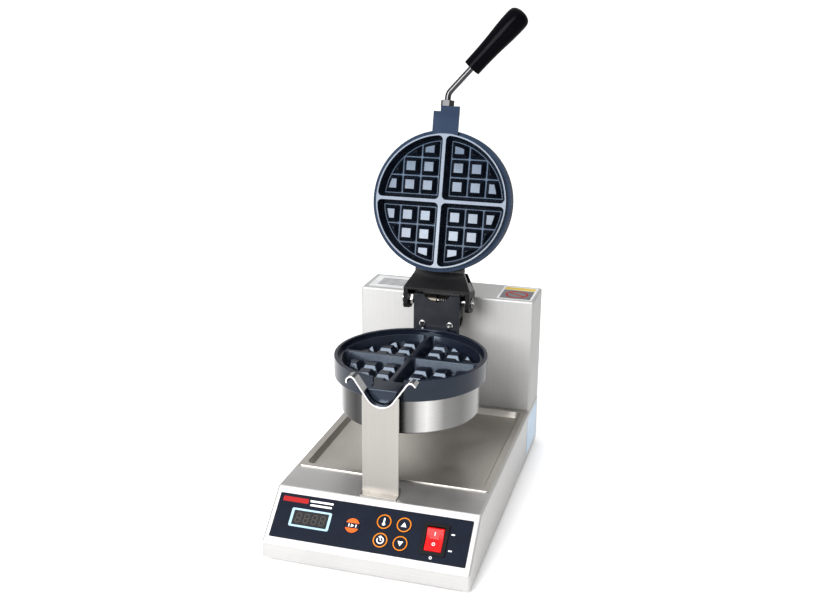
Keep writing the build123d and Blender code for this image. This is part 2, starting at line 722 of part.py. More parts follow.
LABEL_SHEET = 0.3
tower_top = Plane.XY.offset(Z_TOWER)
with BuildPart() as top_labels:
    add(slab(tower_top, (66, 54), 0, LABEL_SHEET, (-TOWER_HALF + 41, tower_mid + 1), 2))
    add(slab(tower_top, (49, 60), 0, LABEL_SHEET, (TOWER_HALF - 28, tower_mid + 1), 2))
top_labels.part.label = "top_labels"

with BuildPart() as side_label:
    with BuildSketch(facing_right(HALF_WIDTH)):
        with Locations((Y_REAR - 46, Z_BASE + DECK_HEIGHT / 2)):
            RectangleRounded(74, 54, 2)
    extrude(amount=LABEL_SHEET)
side_label.part.label = "side_label"

# ---------------------------------------------------------------- bearings that carry the turning iron
frame_half = 60.0
frame_sheet = 3.0
frame_rear = Y_TOWER + 40
inner_wall = Y_TOWER + SHEET
frame_foot = 14.0

# A lug on the shaft runs between two pins, half a turn apart less the width of the lug.
STOP_PIN_RADIUS = 2.0
STOP_CIRCLE = 21.8
STOP_LENGTH = 10.0
STOP_LUG = (5.0, 6.0)
stop_angle = radians(14.3)
stop_pins_at = [
    (side * STOP_CIRCLE * cos(stop_angle), Z_AXIS + STOP_CIRCLE * sin(stop_angle)) for side in (-1, 1)
]

with BuildPart() as shaft_frame:
    with BuildSketch(Plane.XY.offset(Z_AXIS - 24)):
        with BuildLine():
            Polyline(
                (-frame_half - frame_foot, inner_wall + frame_sheet / 2),
                (-frame_half, inner_wall + frame_sheet / 2),
                (-frame_half, frame_rear - frame_sheet / 2),
                (frame_half, frame_rear - frame_sheet / 2),
                (frame_half, inner_wall + frame_sheet / 2),
                (frame_half + frame_foot, inner_wall + frame_sheet / 2),
            )
            offset(amount=frame_sheet / 2, side=Side.BOTH, kind=Kind.INTERSECTION)
        make_face()
    extrude(amount=48)
    with BuildSketch(facing_front(frame_rear)):
        with Locations(axis_on_front):
            Circle(BUSH_RADIUS + SCREW_GAP)
    extrude(amount=frame_sheet, mode=Mode.SUBTRACT)
    with BuildSketch(facing_front(frame_rear - frame_sheet)):
        with Locations(*stop_pins_at):
            Circle(STOP_PIN_RADIUS)
    extrude(amount=STOP_LENGTH)
shaft_frame.part.label = "shaft_frame"

block_screw_places = [(dx * 22, Z_AXIS + dz * 22) for dx in (-1, 1) for dz in (-1, 1)]
with BuildPart() as bearing_block:
    with BuildSketch(facing_front(inner_wall)):
        with Locations(axis_on_front):
            RectangleRounded(58, 58, 6)
            Circle(BUSH_RADIUS + SCREW_GAP, mode=Mode.SUBTRACT)
        with Locations(*block_screw_places):
            Circle(2.5 + SCREW_GAP, mode=Mode.SUBTRACT)
    extrude(amount=-18)
bearing_block.part.label = "bearing_block"

with BuildPart() as front_bearing:
    add(ring(facing_front(Y_TOWER + 20).shift_origin((0, Y_TOWER + 20, Z_AXIS)),
             BUSH_RADIUS, SHAFT_RADIUS + RUNNING_GAP, 0, 20))
    add(ring(facing_front(Y_TOWER).shift_origin((0, Y_TOWER, Z_AXIS)),
             BUSH_RADIUS + 7, SHAFT_RADIUS + RUNNING_GAP, 0, 3))
front_bearing.part.label = "front_bearing"

rear_bush_plane = facing_front(frame_rear).shift_origin((0, frame_rear, Z_AXIS))
with BuildPart() as rear_bearing:
    add(ring(rear_bush_plane, BUSH_RADIUS, SHAFT_RADIUS + RUNNING_GAP, -9, 9 + frame_sheet))
    add(ring(rear_bush_plane, BUSH_RADIUS + 5, SHAFT_RADIUS + RUNNING_GAP, -3, 3))
rear_bearing.part.label = "rear_bearing"

# ---------------------------------------------------------------- waffle castings
stud_offsets = [RIB_HALF_FOOT + CHANNEL_EDGE + STUD_FOOT / 2 + i * STUD_PITCH for i in range(STUDS_PER_SIDE)]
stud_places = [
    (sx * x, sy * y)
    for x in stud_offsets
    for y in stud_offsets
    for sx in (-1, 1)
    for sy in (-1, 1)
    if hypot(x - STUD_FOOT / 2, y - STUD_FOOT / 2) < STUD_FIELD_RADIUS - 1
]


def stud_field(face, floor):
    """Tapered studs that stand on the pocket floors, cut off round the rim by a sloping wall."""
    with BuildPart() as studs:
        with BuildSketch(face.offset(floor)):
            with Locations(*stud_places):
                RectangleRounded(STUD_FOOT, STUD_FOOT, STUD_CORNER)
        extrude(amount=STUD_HEIGHT, taper=STUD_TAPER)
        with BuildSketch(face.offset(floor)):
            Circle(STUD_FIELD_RADIUS)
        extrude(amount=STUD_HEIGHT, taper=STUD_TAPER, mode=Mode.INTERSECT)
    return studs.part


def waffle_disc(face, tiers):
    """Stepped disc with four pockets and their studs. Tiers are (radius, bottom, top); ribs end at the last top."""
    floor = tiers[-1][2] - CAVITY_DEPTH
    with BuildPart() as casting:
        for radius, bottom, top in tiers:
            add(disc(face, radius, bottom, top - bottom))
        with BuildSketch(face.offset(floor)) as pockets:
            Circle(FLOOR_RADIUS)
            Rectangle(2 * RIB_HALF_FOOT, 2 * RING_RADIUS, mode=Mode.SUBTRACT)
            Rectangle(2 * RING_RADIUS, 2 * RIB_HALF_FOOT, mode=Mode.SUBTRACT)
            fillet(pockets.vertices(), radius=POCKET_CORNER)
        extrude(amount=CAVITY_DEPTH, taper=-WALL_TAPER, mode=Mode.SUBTRACT)
        add(stud_field(face, floor))
    return casting.part


def half_round(face, start, length, top):
    """Half-round bar along the face's local Y with its flat side at height top."""
    with BuildPart() as bar:
        with BuildSketch(across(face, start)):
            Circle(LUG_RADIUS)
            with Locations((0, -LUG_RADIUS - top)):
                Rectangle(3 * LUG_RADIUS, 2 * LUG_RADIUS, mode=Mode.SUBTRACT)
        extrude(amount=length)
    return bar.part


cover_screw_places = [
    (COVER_SCREW_CIRCLE * cos(radians(angle)), COVER_SCREW_CIRCLE * sin(radians(angle)))
    for angle in COVER_SCREW_ANGLES
]
cover_screw_radius = 2.0
screw_bite = 4.0
NECK_START = 92.0
neck_length = PLATE_DISTANCE - IRON_DISTANCE - NECK_START
neck_pad = (56.0, 17.0, 7.0)
neck_bolts_at = [(-21, Z_AXIS - 11), (21, Z_AXIS - 11)]
neck_bolt_radius = 3.0
notch_half = LUG_RADIUS + 1.5

with BuildPart() as lower_mould:
    add(waffle_disc(lower_face, [(RING_RADIUS, -LOWER_RING_DEPTH, -MATING_GAP)]))
    add(ring(lower_face, RING_RADIUS, LIP_INNER_RADIUS, -MATING_GAP, LIP_RISE + MATING_GAP))
    with BuildSketch(lower_face.offset(-MATING_GAP)):
        with Locations((0, -RING_RADIUS)):
            Rectangle(2 * notch_half, 20)
    extrude(amount=LIP_RISE + 2, mode=Mode.SUBTRACT)
    lip_edges = lower_mould.edges().group_by(Axis.Z)[-1].filter_by(GeomType.CIRCLE)
    fillet(lip_edges, radius=0.8)
    outer_foot = lower_mould.edges().group_by(Axis.Z)[0].filter_by(GeomType.CIRCLE)
    fillet(outer_foot, radius=1.5)
    add(half_round(lower_face, -LUG_FRONT, LUG_FRONT - NECK_START, -MATING_GAP))
    fillet(lower_mould.edges().group_by(Axis.Y)[0], radius=1.5)
    add(half_round(lower_face, NECK_START, neck_length, -MATING_GAP))
    with BuildSketch(facing_front(Y_PLATE)):
        with Locations((0, Z_AXIS - 2 - neck_pad[1] / 2)):
            RectangleRounded(neck_pad[0], neck_pad[1], 3)
    extrude(amount=neck_pad[2])
    with BuildSketch(facing_front(Y_PLATE)):
        with Locations(*neck_bolts_at):
            Circle(neck_bolt_radius + SCREW_GAP)
    extrude(amount=neck_pad[2] - 1, mode=Mode.SUBTRACT)
    with BuildSketch(lower_face.offset(-LOWER_RING_DEPTH)):
        with Locations(*cover_screw_places):
            Circle(cover_screw_radius + SCREW_GAP)
    extrude(amount=screw_bite, mode=Mode.SUBTRACT)
lower_mould.part.label = "lower_mould"

arm_bolts_at = [(-22, -76), (0, -76), (22, -76)]
arm_bolt_radius = 2.5
ARM_BOLT_BITE = 7.0
rod_start = BLOCK_LONG - 13
rod_foot_u = -1.5
with BuildPart() as upper_mould:
    add(waffle_disc(upper_face, [
        (UPPER_RING_RADIUS, -UPPER_RING_DEPTH, -LIP_RISE - MATING_GAP),
        (SPIGOT_RADIUS, -LIP_RISE - MATING_GAP, 0),
    ]))
    back_rim = upper_mould.edges().group_by(Axis(upper_face.origin, upper_face.z_dir))[0]
    fillet(back_rim.filter_by(GeomType.CIRCLE), radius=1.5)
    add(half_round(upper_face, NECK_START - 4, BLOCK_LONG - NECK_START + 4, 0))
    with BuildSketch(upper_face):
        with Locations((BLOCK_STEP - LUG_RADIUS, BLOCK_SHORT + LUG_RADIUS)):
            Rectangle(2 * LUG_RADIUS, 2 * LUG_RADIUS)
    extrude(amount=2 * LUG_RADIUS, both=True, mode=Mode.SUBTRACT)
    with BuildSketch(across(upper_face, rod_start)):
        with Locations((rod_foot_u, HANDLE_DEPTH)):
            Circle(ROD_RADIUS + SCREW_GAP)
    extrude(amount=20, mode=Mode.SUBTRACT)
    with BuildSketch(upper_face.offset(-UPPER_RING_DEPTH)):
        with Locations(*cover_screw_places):
            Circle(cover_screw_radius + SCREW_GAP)
    extrude(amount=screw_bite, mode=Mode.SUBTRACT)
    with BuildSketch(upper_face.offset(-UPPER_RING_DEPTH)):
        with Locations(*arm_bolts_at):
            Circle(arm_bolt_radius + SCREW_GAP)
    extrude(amount=ARM_BOLT_BITE, mode=Mode.SUBTRACT)
upper_mould.part.label = "upper_mould"

# ---------------------------------------------------------------- heaters, insulation and steel covers
CLAMP_SHEET = 3.0
WOOL_HEIGHT = 14.0
HEATER_SINK = 0.3
lower_back = -LOWER_RING_DEPTH
upper_back = -UPPER_RING_DEPTH
heater_stack = 2 * HEATER_TUBE + CLAMP_SHEET


def heater(face, top):
    """Tube element bent nearly to a full ring, with the steel disc that clamps it to the casting."""
    with BuildPart() as element:
        with BuildLine(face.offset(top - HEATER_TUBE)) as loop:
            arc = CenterArc((0, 0), HEATER_CIRCLE, 100, 340)
        with BuildSketch(Plane(origin=arc @ 0, z_dir=arc % 0)):
            Circle(HEATER_TUBE)
        sweep(path=loop.wires()[0])
        add(disc(face, HEAT_DISC_RADIUS, top - 2 * HEATER_TUBE - CLAMP_SHEET, CLAMP_SHEET + HEATER_SINK))
    return element.part


def steel_cover(face, top, height):
    """Spun cup with a rounded bottom edge and holes for its three screws."""
    outward = Axis(face.origin, face.z_dir)
    with BuildPart() as cup:
        add(disc(face, COVER_RADIUS, top - height, height))
        fillet(cup.edges().group_by(outward)[0], radius=2.5)
        add(disc(face, COVER_RADIUS - COVER_SHEET, top - height + COVER_SHEET, height), mode=Mode.SUBTRACT)
        with BuildSketch(face.offset(top - height)):
            with Locations(*cover_screw_places):
                Circle(cover_screw_radius + SCREW_GAP)
        extrude(amount=2 * COVER_SHEET, mode=Mode.SUBTRACT)
    return cup.part


with BuildPart() as lower_heater:
    add(heater(lower_face, lower_back))
lower_heater.part.label = "lower_heater"

with BuildPart() as upper_heater:
    add(heater(upper_face, upper_back))
upper_heater.part.label = "upper_heater"

with BuildPart() as lower_insulation:
    add(disc(lower_face, HEAT_DISC_RADIUS, lower_back - heater_stack - WOOL_HEIGHT, WOOL_HEIGHT))
lower_insulation.part.label = "lower_insulation"

with BuildPart() as upper_insulation:
    add(disc(upper_face, HEAT_DISC_RADIUS, upper_back - heater_stack - WOOL_HEIGHT, WOOL_HEIGHT))
upper_insulation.part.label = "upper_insulation"

with BuildPart() as lower_cover:
    add(steel_cover(lower_face, lower_back, LOWER_COVER_HEIGHT))
lower_cover.part.label = "lower_cover"

TONGUE_HALF = 34.0
TONGUE_SHEET = 6.0
with BuildPart() as upper_cover:
    add(steel_cover(upper_face, upper_back, UPPER_COVER_HEIGHT))
    with BuildSketch(upper_face.offset(upper_back)):
        with Locations((0, -COVER_RADIUS)):
            Rectangle(2 * (TONGUE_HALF + 1), 40)
    extrude(amount=-TONGUE_SHEET - 1, mode=Mode.SUBTRACT)
upper_cover.part.label = "upper_cover"

lower_under = Plane(origin=lower_face.from_local_coords((0, 0, lower_back - LOWER_COVER_HEIGHT)),
                    x_dir=(1, 0, 0), z_dir=-lower_face.z_dir)
upper_under = Plane(origin=upper_face.from_local_coords((0, 0, upper_back - UPPER_COVER_HEIGHT)),
                    x_dir=(1, 0, 0), z_dir=-upper_face.z_dir)
flipped_places = [(x, -y) for x, y in cover_screw_places]
with BuildPart() as lower_cover_screws:
    add(pan_screws(lower_under, flipped_places, 4.2, 2.6, cover_screw_radius,
                   LOWER_COVER_HEIGHT + screw_bite - 0.5))
lower_cover_screws.part.label = "lower_cover_screws"

with BuildPart() as upper_cover_screws:
    add(pan_screws(upper_under, flipped_places, 4.2, 2.6, cover_screw_radius,
                   UPPER_COVER_HEIGHT + screw_bite - 0.5))
upper_cover_screws.part.label = "upper_cover_screws"

# ---------------------------------------------------------------- turning shaft and hinge bracket
FLANGE_HALF = 27.5
FLANGE_SHEET = 8.0
flange_back = Y_PLATE + PLATE_SHEET + FLANGE_SHEET
bracket_screws_at = [(-19.2, Z_AXIS + 4.3), (19.2, Z_AXIS + 4.3)]
bracket_screw_radius = 2.5
shaft_end = frame_rear + 26

with BuildPart() as shaft_flange:
    with BuildSketch(facing_front(Y_PLATE + PLATE_SHEET)):
        with Locations((0, Z_AXIS)):
            RectangleRounded(2 * FLANGE_HALF, 38, 4)
        with Locations(*bracket_screws_at):
            Circle(bracket_screw_radius + SCREW_GAP, mode=Mode.SUBTRACT)
        with Locations(*neck_bolts_at):
            Circle(neck_bolt_radius + SCREW_GAP, mode=Mode.SUBTRACT)
    extrude(amount=-FLANGE_SHEET)
shaft_flange.part.label = "shaft_flange"

with BuildPart() as main_shaft:
    with BuildSketch(facing_front(shaft_end)):
        with Locations(axis_on_front):
            Circle(SHAFT_RADIUS)
    extrude(amount=shaft_end - flange_back)
    with BuildSketch(facing_front(shaft_end - 2)):
        with Locations(axis_on_front):
            RegularPolygon(21, 6)
    extrude(amount=9)
    with BuildSketch(facing_front(frame_rear - frame_sheet - 1)):
        with Locations(axis_on_front):
            Circle(SHAFT_RADIUS + 2.5)
        with Locations((SHAFT_RADIUS + 2 + STOP_LUG[0] / 2, Z_AXIS)):
            Rectangle(STOP_LUG[0], STOP_LUG[1])
    extrude(amount=STOP_LENGTH - 1)
    with BuildSketch(facing_front(shaft_end)):
        with Locations(axis_on_front):
            Circle(SHAFT_BORE)
    extrude(amount=shaft_end - flange_back, mode=Mode.SUBTRACT)
main_shaft.part.label = "main_shaft"

with BuildPart() as neck_bolts:
    with BuildSketch(facing_front(flange_back)):
        with Locations(*neck_bolts_at):
            RegularPolygon(5.5, 6)
    extrude(amount=-4)
    with BuildSketch(facing_front(flange_back)):
        with Locations(*neck_bolts_at):
            Circle(neck_bolt_radius)
    extrude(amount=FLANGE_SHEET + PLATE_SHEET + neck_pad[2] - 2)
neck_bolts.part.label = "neck_bolts"

NOTCH_HALF = 18.0
NOTCH_DROP = 10.3
notch_radius = (NOTCH_HALF ** 2 + NOTCH_DROP ** 2) / (2 * NOTCH_DROP)
z_plate_top = Z_BASE + PLATE_TOP

with BuildPart() as hinge_bracket:
    with BuildSketch(facing_front(Y_PLATE)):
        with BuildLine():
            Polyline(
                (-PLATE_HALF_WIDTH, Z_AXIS - 20),
                (-PLATE_HALF_WIDTH, z_plate_top),
                (PLATE_HALF_WIDTH, z_plate_top),
                (PLATE_HALF_WIDTH, Z_AXIS - 20),
                close=True,
            )
        make_face()
        with Locations((0, z_plate_top - NOTCH_DROP + notch_radius)):
            Circle(notch_radius, mode=Mode.SUBTRACT)
        with Locations(*bracket_screws_at):
            Circle(bracket_screw_radius + SCREW_GAP, mode=Mode.SUBTRACT)
        with Locations(*neck_bolts_at):
            Circle(neck_bolt_radius + SCREW_GAP, mode=Mode.SUBTRACT)
    extrude(amount=-PLATE_SHEET)
    for side in (-1, 1):
        with BuildSketch(facing_right(side * PLATE_HALF_WIDTH)):
            with Locations((Y_PLATE + PLATE_SHEET + 9, Z_HINGE - 8)):
                Rectangle(18, 26)
            with Locations((Y_HINGE, Z_HINGE)):
                Circle(9.5)
        extrude(amount=-side * PLATE_SHEET)
        with BuildSketch(facing_right(side * PLATE_HALF_WIDTH)):
            with Locations((Y_HINGE, Z_HINGE)):
                Circle(PIVOT_RADIUS + RUNNING_GAP)
        extrude(amount=-side * PLATE_SHEET, mode=Mode.SUBTRACT)
hinge_bracket.part.label = "hinge_bracket"

with BuildPart() as bracket_screws:
    add(pan_screws(facing_front(Y_PLATE), bracket_screws_at, 4.6, 3.2, bracket_screw_radius,
                   PLATE_SHEET + FLANGE_SHEET))
bracket_screws.part.label = "bracket_screws"

SPRING_WIRE = 1.25
SPRING_PITCH = 2.9
SPRING_TURNS = 5
spring_start = (SPRING_WIRE + 0.5, Y_HINGE, Z_HINGE)
with BuildPart() as hinge_spring:
    coil = Helix(SPRING_PITCH, SPRING_TURNS * SPRING_PITCH, PIVOT_RADIUS + 1 + SPRING_WIRE,
                 center=spring_start, direction=(1, 0, 0))
    with BuildSketch(Plane(origin=coil @ 0, z_dir=coil % 0)):
        Circle(SPRING_WIRE)
    sweep(path=coil, is_frenet=True)
hinge_spring.part.label = "hinge_spring"

with BuildPart() as hinge_bush:
    add(ring(facing_right(-19).shift_origin((-19, Y_HINGE, Z_HINGE)), 7.6, PIVOT_RADIUS + RUNNING_GAP, 0, 18))
    fillet(hinge_bush.edges().filter_by(GeomType.CIRCLE).group_by(SortBy.RADIUS)[-1], radius=0.8)
hinge_bush.part.label = "hinge_bush"

# ---------------------------------------------------------------- hinge arm, pivot and clips
# Side outlines in the upper face's local Y and Z: the hood that reaches over the bracket plate, the
# tongue bolted under the casting, and the ears round the pivot.
pivot_at = (-HINGE_BACK, -HINGE_RISE)
hood_lip = [(-118.5, -16.6), (-121.0, -16.8), (-121.0, -21.5), (-100.0, -33.0), (-94.0, -32.5)]
hood_start = (-95.0, -27.0)
ear_outline = [
    (-97.0, -27.5), (-118.5, -17.0), (-146.6, -21.4), (-146.6, -45.0), (-138.0, -50.5), (-120.0, -50.5),
    (-97.0, -36.0),
]
TONGUE_END = -64.0
REAR_WEB = ((-140.0, -50.5), (-95.0, -47.0))
hood_plan = [
    (-TONGUE_HALF, TONGUE_END), (TONGUE_HALF, TONGUE_END), (TONGUE_HALF, -95), (EAR_OUTER, -118),
    (EAR_OUTER, -150), (-EAR_OUTER, -150), (-EAR_OUTER, -118), (-TONGUE_HALF, -95),
]

with BuildPart() as hinge_arm:
    with BuildSketch(side_of(upper_face, 0)):
        with BuildLine():
            Polyline(hood_start, (-94.0, upper_back), (TONGUE_END, upper_back),
                     (TONGUE_END, upper_back - TONGUE_SHEET), hood_lip[-1])
            Polyline(hood_lip)
            Spline(hood_start, (-107.0, -22.8), hood_lip[0], tangents=[(-1, 0.25), (-1, 0.62)])
        make_face()
    extrude(amount=EAR_OUTER, both=True)
    with BuildSketch(side_of(upper_face, 0)):
        with Locations(REAR_WEB[0]):
            Rectangle(REAR_WEB[1][0] - REAR_WEB[0][0], REAR_WEB[1][1] - REAR_WEB[0][1], align=Align.MIN)
    extrude(amount=EAR_OUTER, both=True)
    for side in (-1, 1):
        with BuildSketch(side_of(upper_face, side * EAR_INNER)) as ear:
            with BuildLine():
                Polyline(ear_outline, close=True)
            make_face()
            fillet(ear.vertices().sort_by(Axis.X)[:4], radius=6)
            with Locations(pivot_at):
                Circle(PIVOT_RADIUS + RUNNING_GAP, mode=Mode.SUBTRACT)
        extrude(amount=side * (EAR_OUTER - EAR_INNER))
    with BuildSketch(upper_face):
        with BuildLine():
            Polyline(hood_plan, close=True)
        make_face()
    extrude(amount=-60, mode=Mode.INTERSECT)
    with BuildSketch(upper_face.offset(upper_back)):
        with Locations(*arm_bolts_at):
            Circle(arm_bolt_radius + SCREW_GAP)
    extrude(amount=-TONGUE_SHEET, mode=Mode.SUBTRACT)
hinge_arm.part.label = "hinge_arm"

with BuildPart() as arm_bolts:
    with BuildSketch(upper_face.offset(upper_back - TONGUE_SHEET)):
        with Locations(*arm_bolts_at):
            RegularPolygon(4.6, 6)
    extrude(amount=-3.5)
    with BuildSketch(upper_face.offset(upper_back - TONGUE_SHEET)):
        with Locations(*arm_bolts_at):
            Circle(arm_bolt_radius)
    extrude(amount=TONGUE_SHEET + ARM_BOLT_BITE - 1)
arm_bolts.part.label = "arm_bolts"

PIN_HALF = 50.0
CLIP_START = EAR_OUTER + 0.3
pin_axis = Plane(origin=(0, Y_HINGE, Z_HINGE), x_dir=(0, 1, 0), z_dir=(1, 0, 0))
with BuildPart() as hinge_pin:
    with BuildSketch(pin_axis.offset(-PIN_HALF)):
        Circle(PIVOT_RADIUS)
    extrude(amount=2 * PIN_HALF)
    with BuildSketch(pin_axis.offset(-CLIP_START)):
        Circle(6.5)
    extrude(amount=-3.7)
    with BuildSketch(pin_axis.offset(CLIP_START)):
        Circle(7.5)
    extrude(amount=1.2)
    chamfer(hinge_pin.edges().group_by(Axis.X)[-1], length=0.8)
hinge_pin.part.label = "hinge_pin"

with BuildPart() as hinge_nut:
    with BuildSketch(pin_axis.offset(0.3 - EAR_INNER)):
        RegularPolygon(8.1, 6)
        Circle(PIVOT_RADIUS + RUNNING_GAP, mode=Mode.SUBTRACT)
    extrude(amount=5)
hinge_nut.part.label = "hinge_nut"

# ---------------------------------------------------------------- handle
handle_plane = upper_face.offset(-HANDLE_DEPTH)
ELBOW_RADIUS = 14.0
ROD_INTO_GRIP = 45.0
lean = radians(GRIP_LEAN)
rod_elbow = (rod_foot_u, GRIP_BASE[1] - (GRIP_BASE[0] - rod_foot_u) / tan(lean))
grip_run = (sin(lean), cos(lean))
rod_end = (GRIP_BASE[0] + ROD_INTO_GRIP * grip_run[0], GRIP_BASE[1] + ROD_INTO_GRIP * grip_run[1])
grip_foot = handle_plane.from_local_coords((GRIP_BASE[0], GRIP_BASE[1], 0))
grip_axis = handle_plane.x_dir * grip_run[0] + handle_plane.y_dir * grip_run[1]
grip_side = Plane(origin=grip_foot, x_dir=handle_plane.z_dir, z_dir=handle_plane.z_dir.cross(grip_axis))
FERRULE_RADIUS = 8.4
FERRULE_SINK = 5.0

with BuildPart() as handle_nut:
    with BuildSketch(across(upper_face, BLOCK_LONG)):
        with Locations((rod_foot_u, HANDLE_DEPTH)):
            RegularPolygon(9.2, 6)
            Circle(ROD_RADIUS + RUNNING_GAP, mode=Mode.SUBTRACT)
    extrude(amount=8)
    fillet(handle_nut.edges().filter_by(GeomType.LINE).group_by(Edge.length.fget)[-1], radius=0.3)
handle_nut.part.label = "handle_nut"

with BuildPart() as handle_rod:
    with BuildLine(handle_plane) as rod_path:
        FilletPolyline((rod_foot_u, rod_start + 0.5), rod_elbow, rod_end, radius=ELBOW_RADIUS)
    with BuildSketch(Plane(origin=rod_path.line @ 0, z_dir=rod_path.line % 0)):
        Circle(ROD_RADIUS)
    sweep()
    with BuildSketch(grip_side):
        with Locations((FERRULE_RADIUS / 2, FERRULE_SINK / 2 - 0.5)):
            Rectangle(FERRULE_RADIUS, FERRULE_SINK - 0.5)
    revolve(axis=Axis(grip_foot, grip_axis))
handle_rod.part.label = "handle_rod"

with BuildPart() as handle_grip:
    with BuildSketch(grip_side) as grip_profile:
        with BuildLine():
            Polyline((0, 0), (10.6, 0))
            ThreePointArc((10.6, 0), (11.8, 0.5), (12.25, 1.7))
            Spline((12.25, 1.7), (12.3, 12), (13.6, 46), (15.5, 80), tangents=[(0, 1), (0, 1)])
            Spline((15.5, 80), (13.8, 91.5), (0, GRIP_LENGTH), tangents=[(0, 1), (-1, 0)])
            Line((0, GRIP_LENGTH), (0, 0))
        make_face()
        with Locations((0, FERRULE_SINK / 2)):
            Rectangle(2 * FERRULE_RADIUS + 0.6, FERRULE_SINK, mode=Mode.SUBTRACT)
        with Locations((0, ROD_INTO_GRIP / 2 + 1)):
            Rectangle(2 * ROD_RADIUS + 2 * RUNNING_GAP, ROD_INTO_GRIP + 2, mode=Mode.SUBTRACT)
    revolve(axis=Axis(grip_foot, grip_axis))
handle_grip.part.label = "handle_grip"

# ---------------------------------------------------------------- one file for every piece
fixed_pieces = [
    base_housing, base_bottom_plate, bottom_screws, rubber_feet, foot_screws, support_plate, support_yoke,
    support_screws, control_overlay, display_frame, display_lens, display_module, switch_bezel, switch_body,
    control_board, board_standoffs, power_board, terminal_block, cable_gland, tower_housing,
    tower_back_cover, back_cover_screws, top_labels, side_label, shaft_frame, bearing_block, front_bearing,
    rear_bearing,
]
iron_pieces = [
    lower_mould, lower_heater, lower_insulation, lower_cover, lower_cover_screws, shaft_flange, main_shaft,
    neck_bolts, hinge_bracket, bracket_screws, hinge_spring, hinge_bush,
]
lid_pieces = [
    upper_mould, upper_heater, upper_insulation, upper_cover, upper_cover_screws, hinge_arm, arm_bolts,
    hinge_pin, hinge_nut, handle_nut, handle_rod, handle_grip,
]
for piece in fixed_pieces + iron_pieces + lid_pieces + [drip_tray, power_rocker] + button_parts:
    export_step(piece.part, f"parts/{piece.part.label}.step")
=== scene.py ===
import json
from math import atan2, cos, pi, radians, sin

import bmesh
import bpy
from mathutils import Matrix, Vector
from mathutils.geometry import tessellate_polygon


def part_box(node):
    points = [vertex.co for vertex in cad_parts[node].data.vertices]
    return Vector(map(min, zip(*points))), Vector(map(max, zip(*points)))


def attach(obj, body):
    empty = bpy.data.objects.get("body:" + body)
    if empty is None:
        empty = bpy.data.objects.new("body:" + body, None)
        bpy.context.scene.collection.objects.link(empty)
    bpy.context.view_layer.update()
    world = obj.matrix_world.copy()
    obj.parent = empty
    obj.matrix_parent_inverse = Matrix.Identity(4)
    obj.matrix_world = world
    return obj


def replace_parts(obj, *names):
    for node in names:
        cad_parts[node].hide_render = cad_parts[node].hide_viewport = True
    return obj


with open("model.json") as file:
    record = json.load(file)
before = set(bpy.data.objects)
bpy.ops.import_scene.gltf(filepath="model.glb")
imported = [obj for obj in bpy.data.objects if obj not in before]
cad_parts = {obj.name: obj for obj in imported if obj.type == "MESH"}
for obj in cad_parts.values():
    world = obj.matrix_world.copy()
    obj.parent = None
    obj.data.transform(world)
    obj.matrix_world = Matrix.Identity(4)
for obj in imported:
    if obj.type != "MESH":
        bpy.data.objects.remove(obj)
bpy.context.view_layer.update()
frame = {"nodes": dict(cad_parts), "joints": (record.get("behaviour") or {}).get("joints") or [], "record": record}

MM = 0.001

# ---------------------------------------------------------------- places, worked out from the frame
BASE_LOW, BASE_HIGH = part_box("base_housing")
TOWER_LOW, TOWER_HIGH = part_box("tower_housing")
COVER_LOW, COVER_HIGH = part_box("lower_cover")

LIP_HEIGHT = 19.5 * MM
PANEL_RUN = 53.7 * MM
PANEL_ANGLE = atan2(BASE_HIGH.z - BASE_LOW.z - LIP_HEIGHT, PANEL_RUN)
PANEL = Matrix((
    (1, 0, 0, 0),
    (0, cos(PANEL_ANGLE), -sin(PANEL_ANGLE), BASE_LOW.y),
    (0, sin(PANEL_ANGLE), cos(PANEL_ANGLE), BASE_LOW.z + LIP_HEIGHT),
    (0, 0, 0, 1),
))
TOWER_TOP = Matrix.Translation((0, (TOWER_LOW.y + TOWER_HIGH.y) / 2, TOWER_HIGH.z))

JOINTS = {joint["name"]: joint for joint in frame["joints"]}
HINGE = Vector(JOINTS["lid_hinge"]["pos_m"])
OPEN_ANGLE = radians(JOINTS["lid_hinge"]["range_deg"][1])
OPENING = Matrix.Translation(HINGE) @ Matrix.Rotation(-OPEN_ANGLE, 4, "X") @ Matrix.Translation(-HINGE)
FACE_OVER_COVER = 21 * MM
LOWER_FACE = Matrix.Translation((0, (COVER_LOW.y + COVER_HIGH.y) / 2, COVER_HIGH.z + FACE_OVER_COVER))
TURNED_OVER = Matrix.Rotation(pi, 4, "X")
UPPER_FACE = OPENING @ LOWER_FACE @ TURNED_OVER
UPPER_OUT = UPPER_FACE.to_3x3() @ Vector((0, 0, 1))


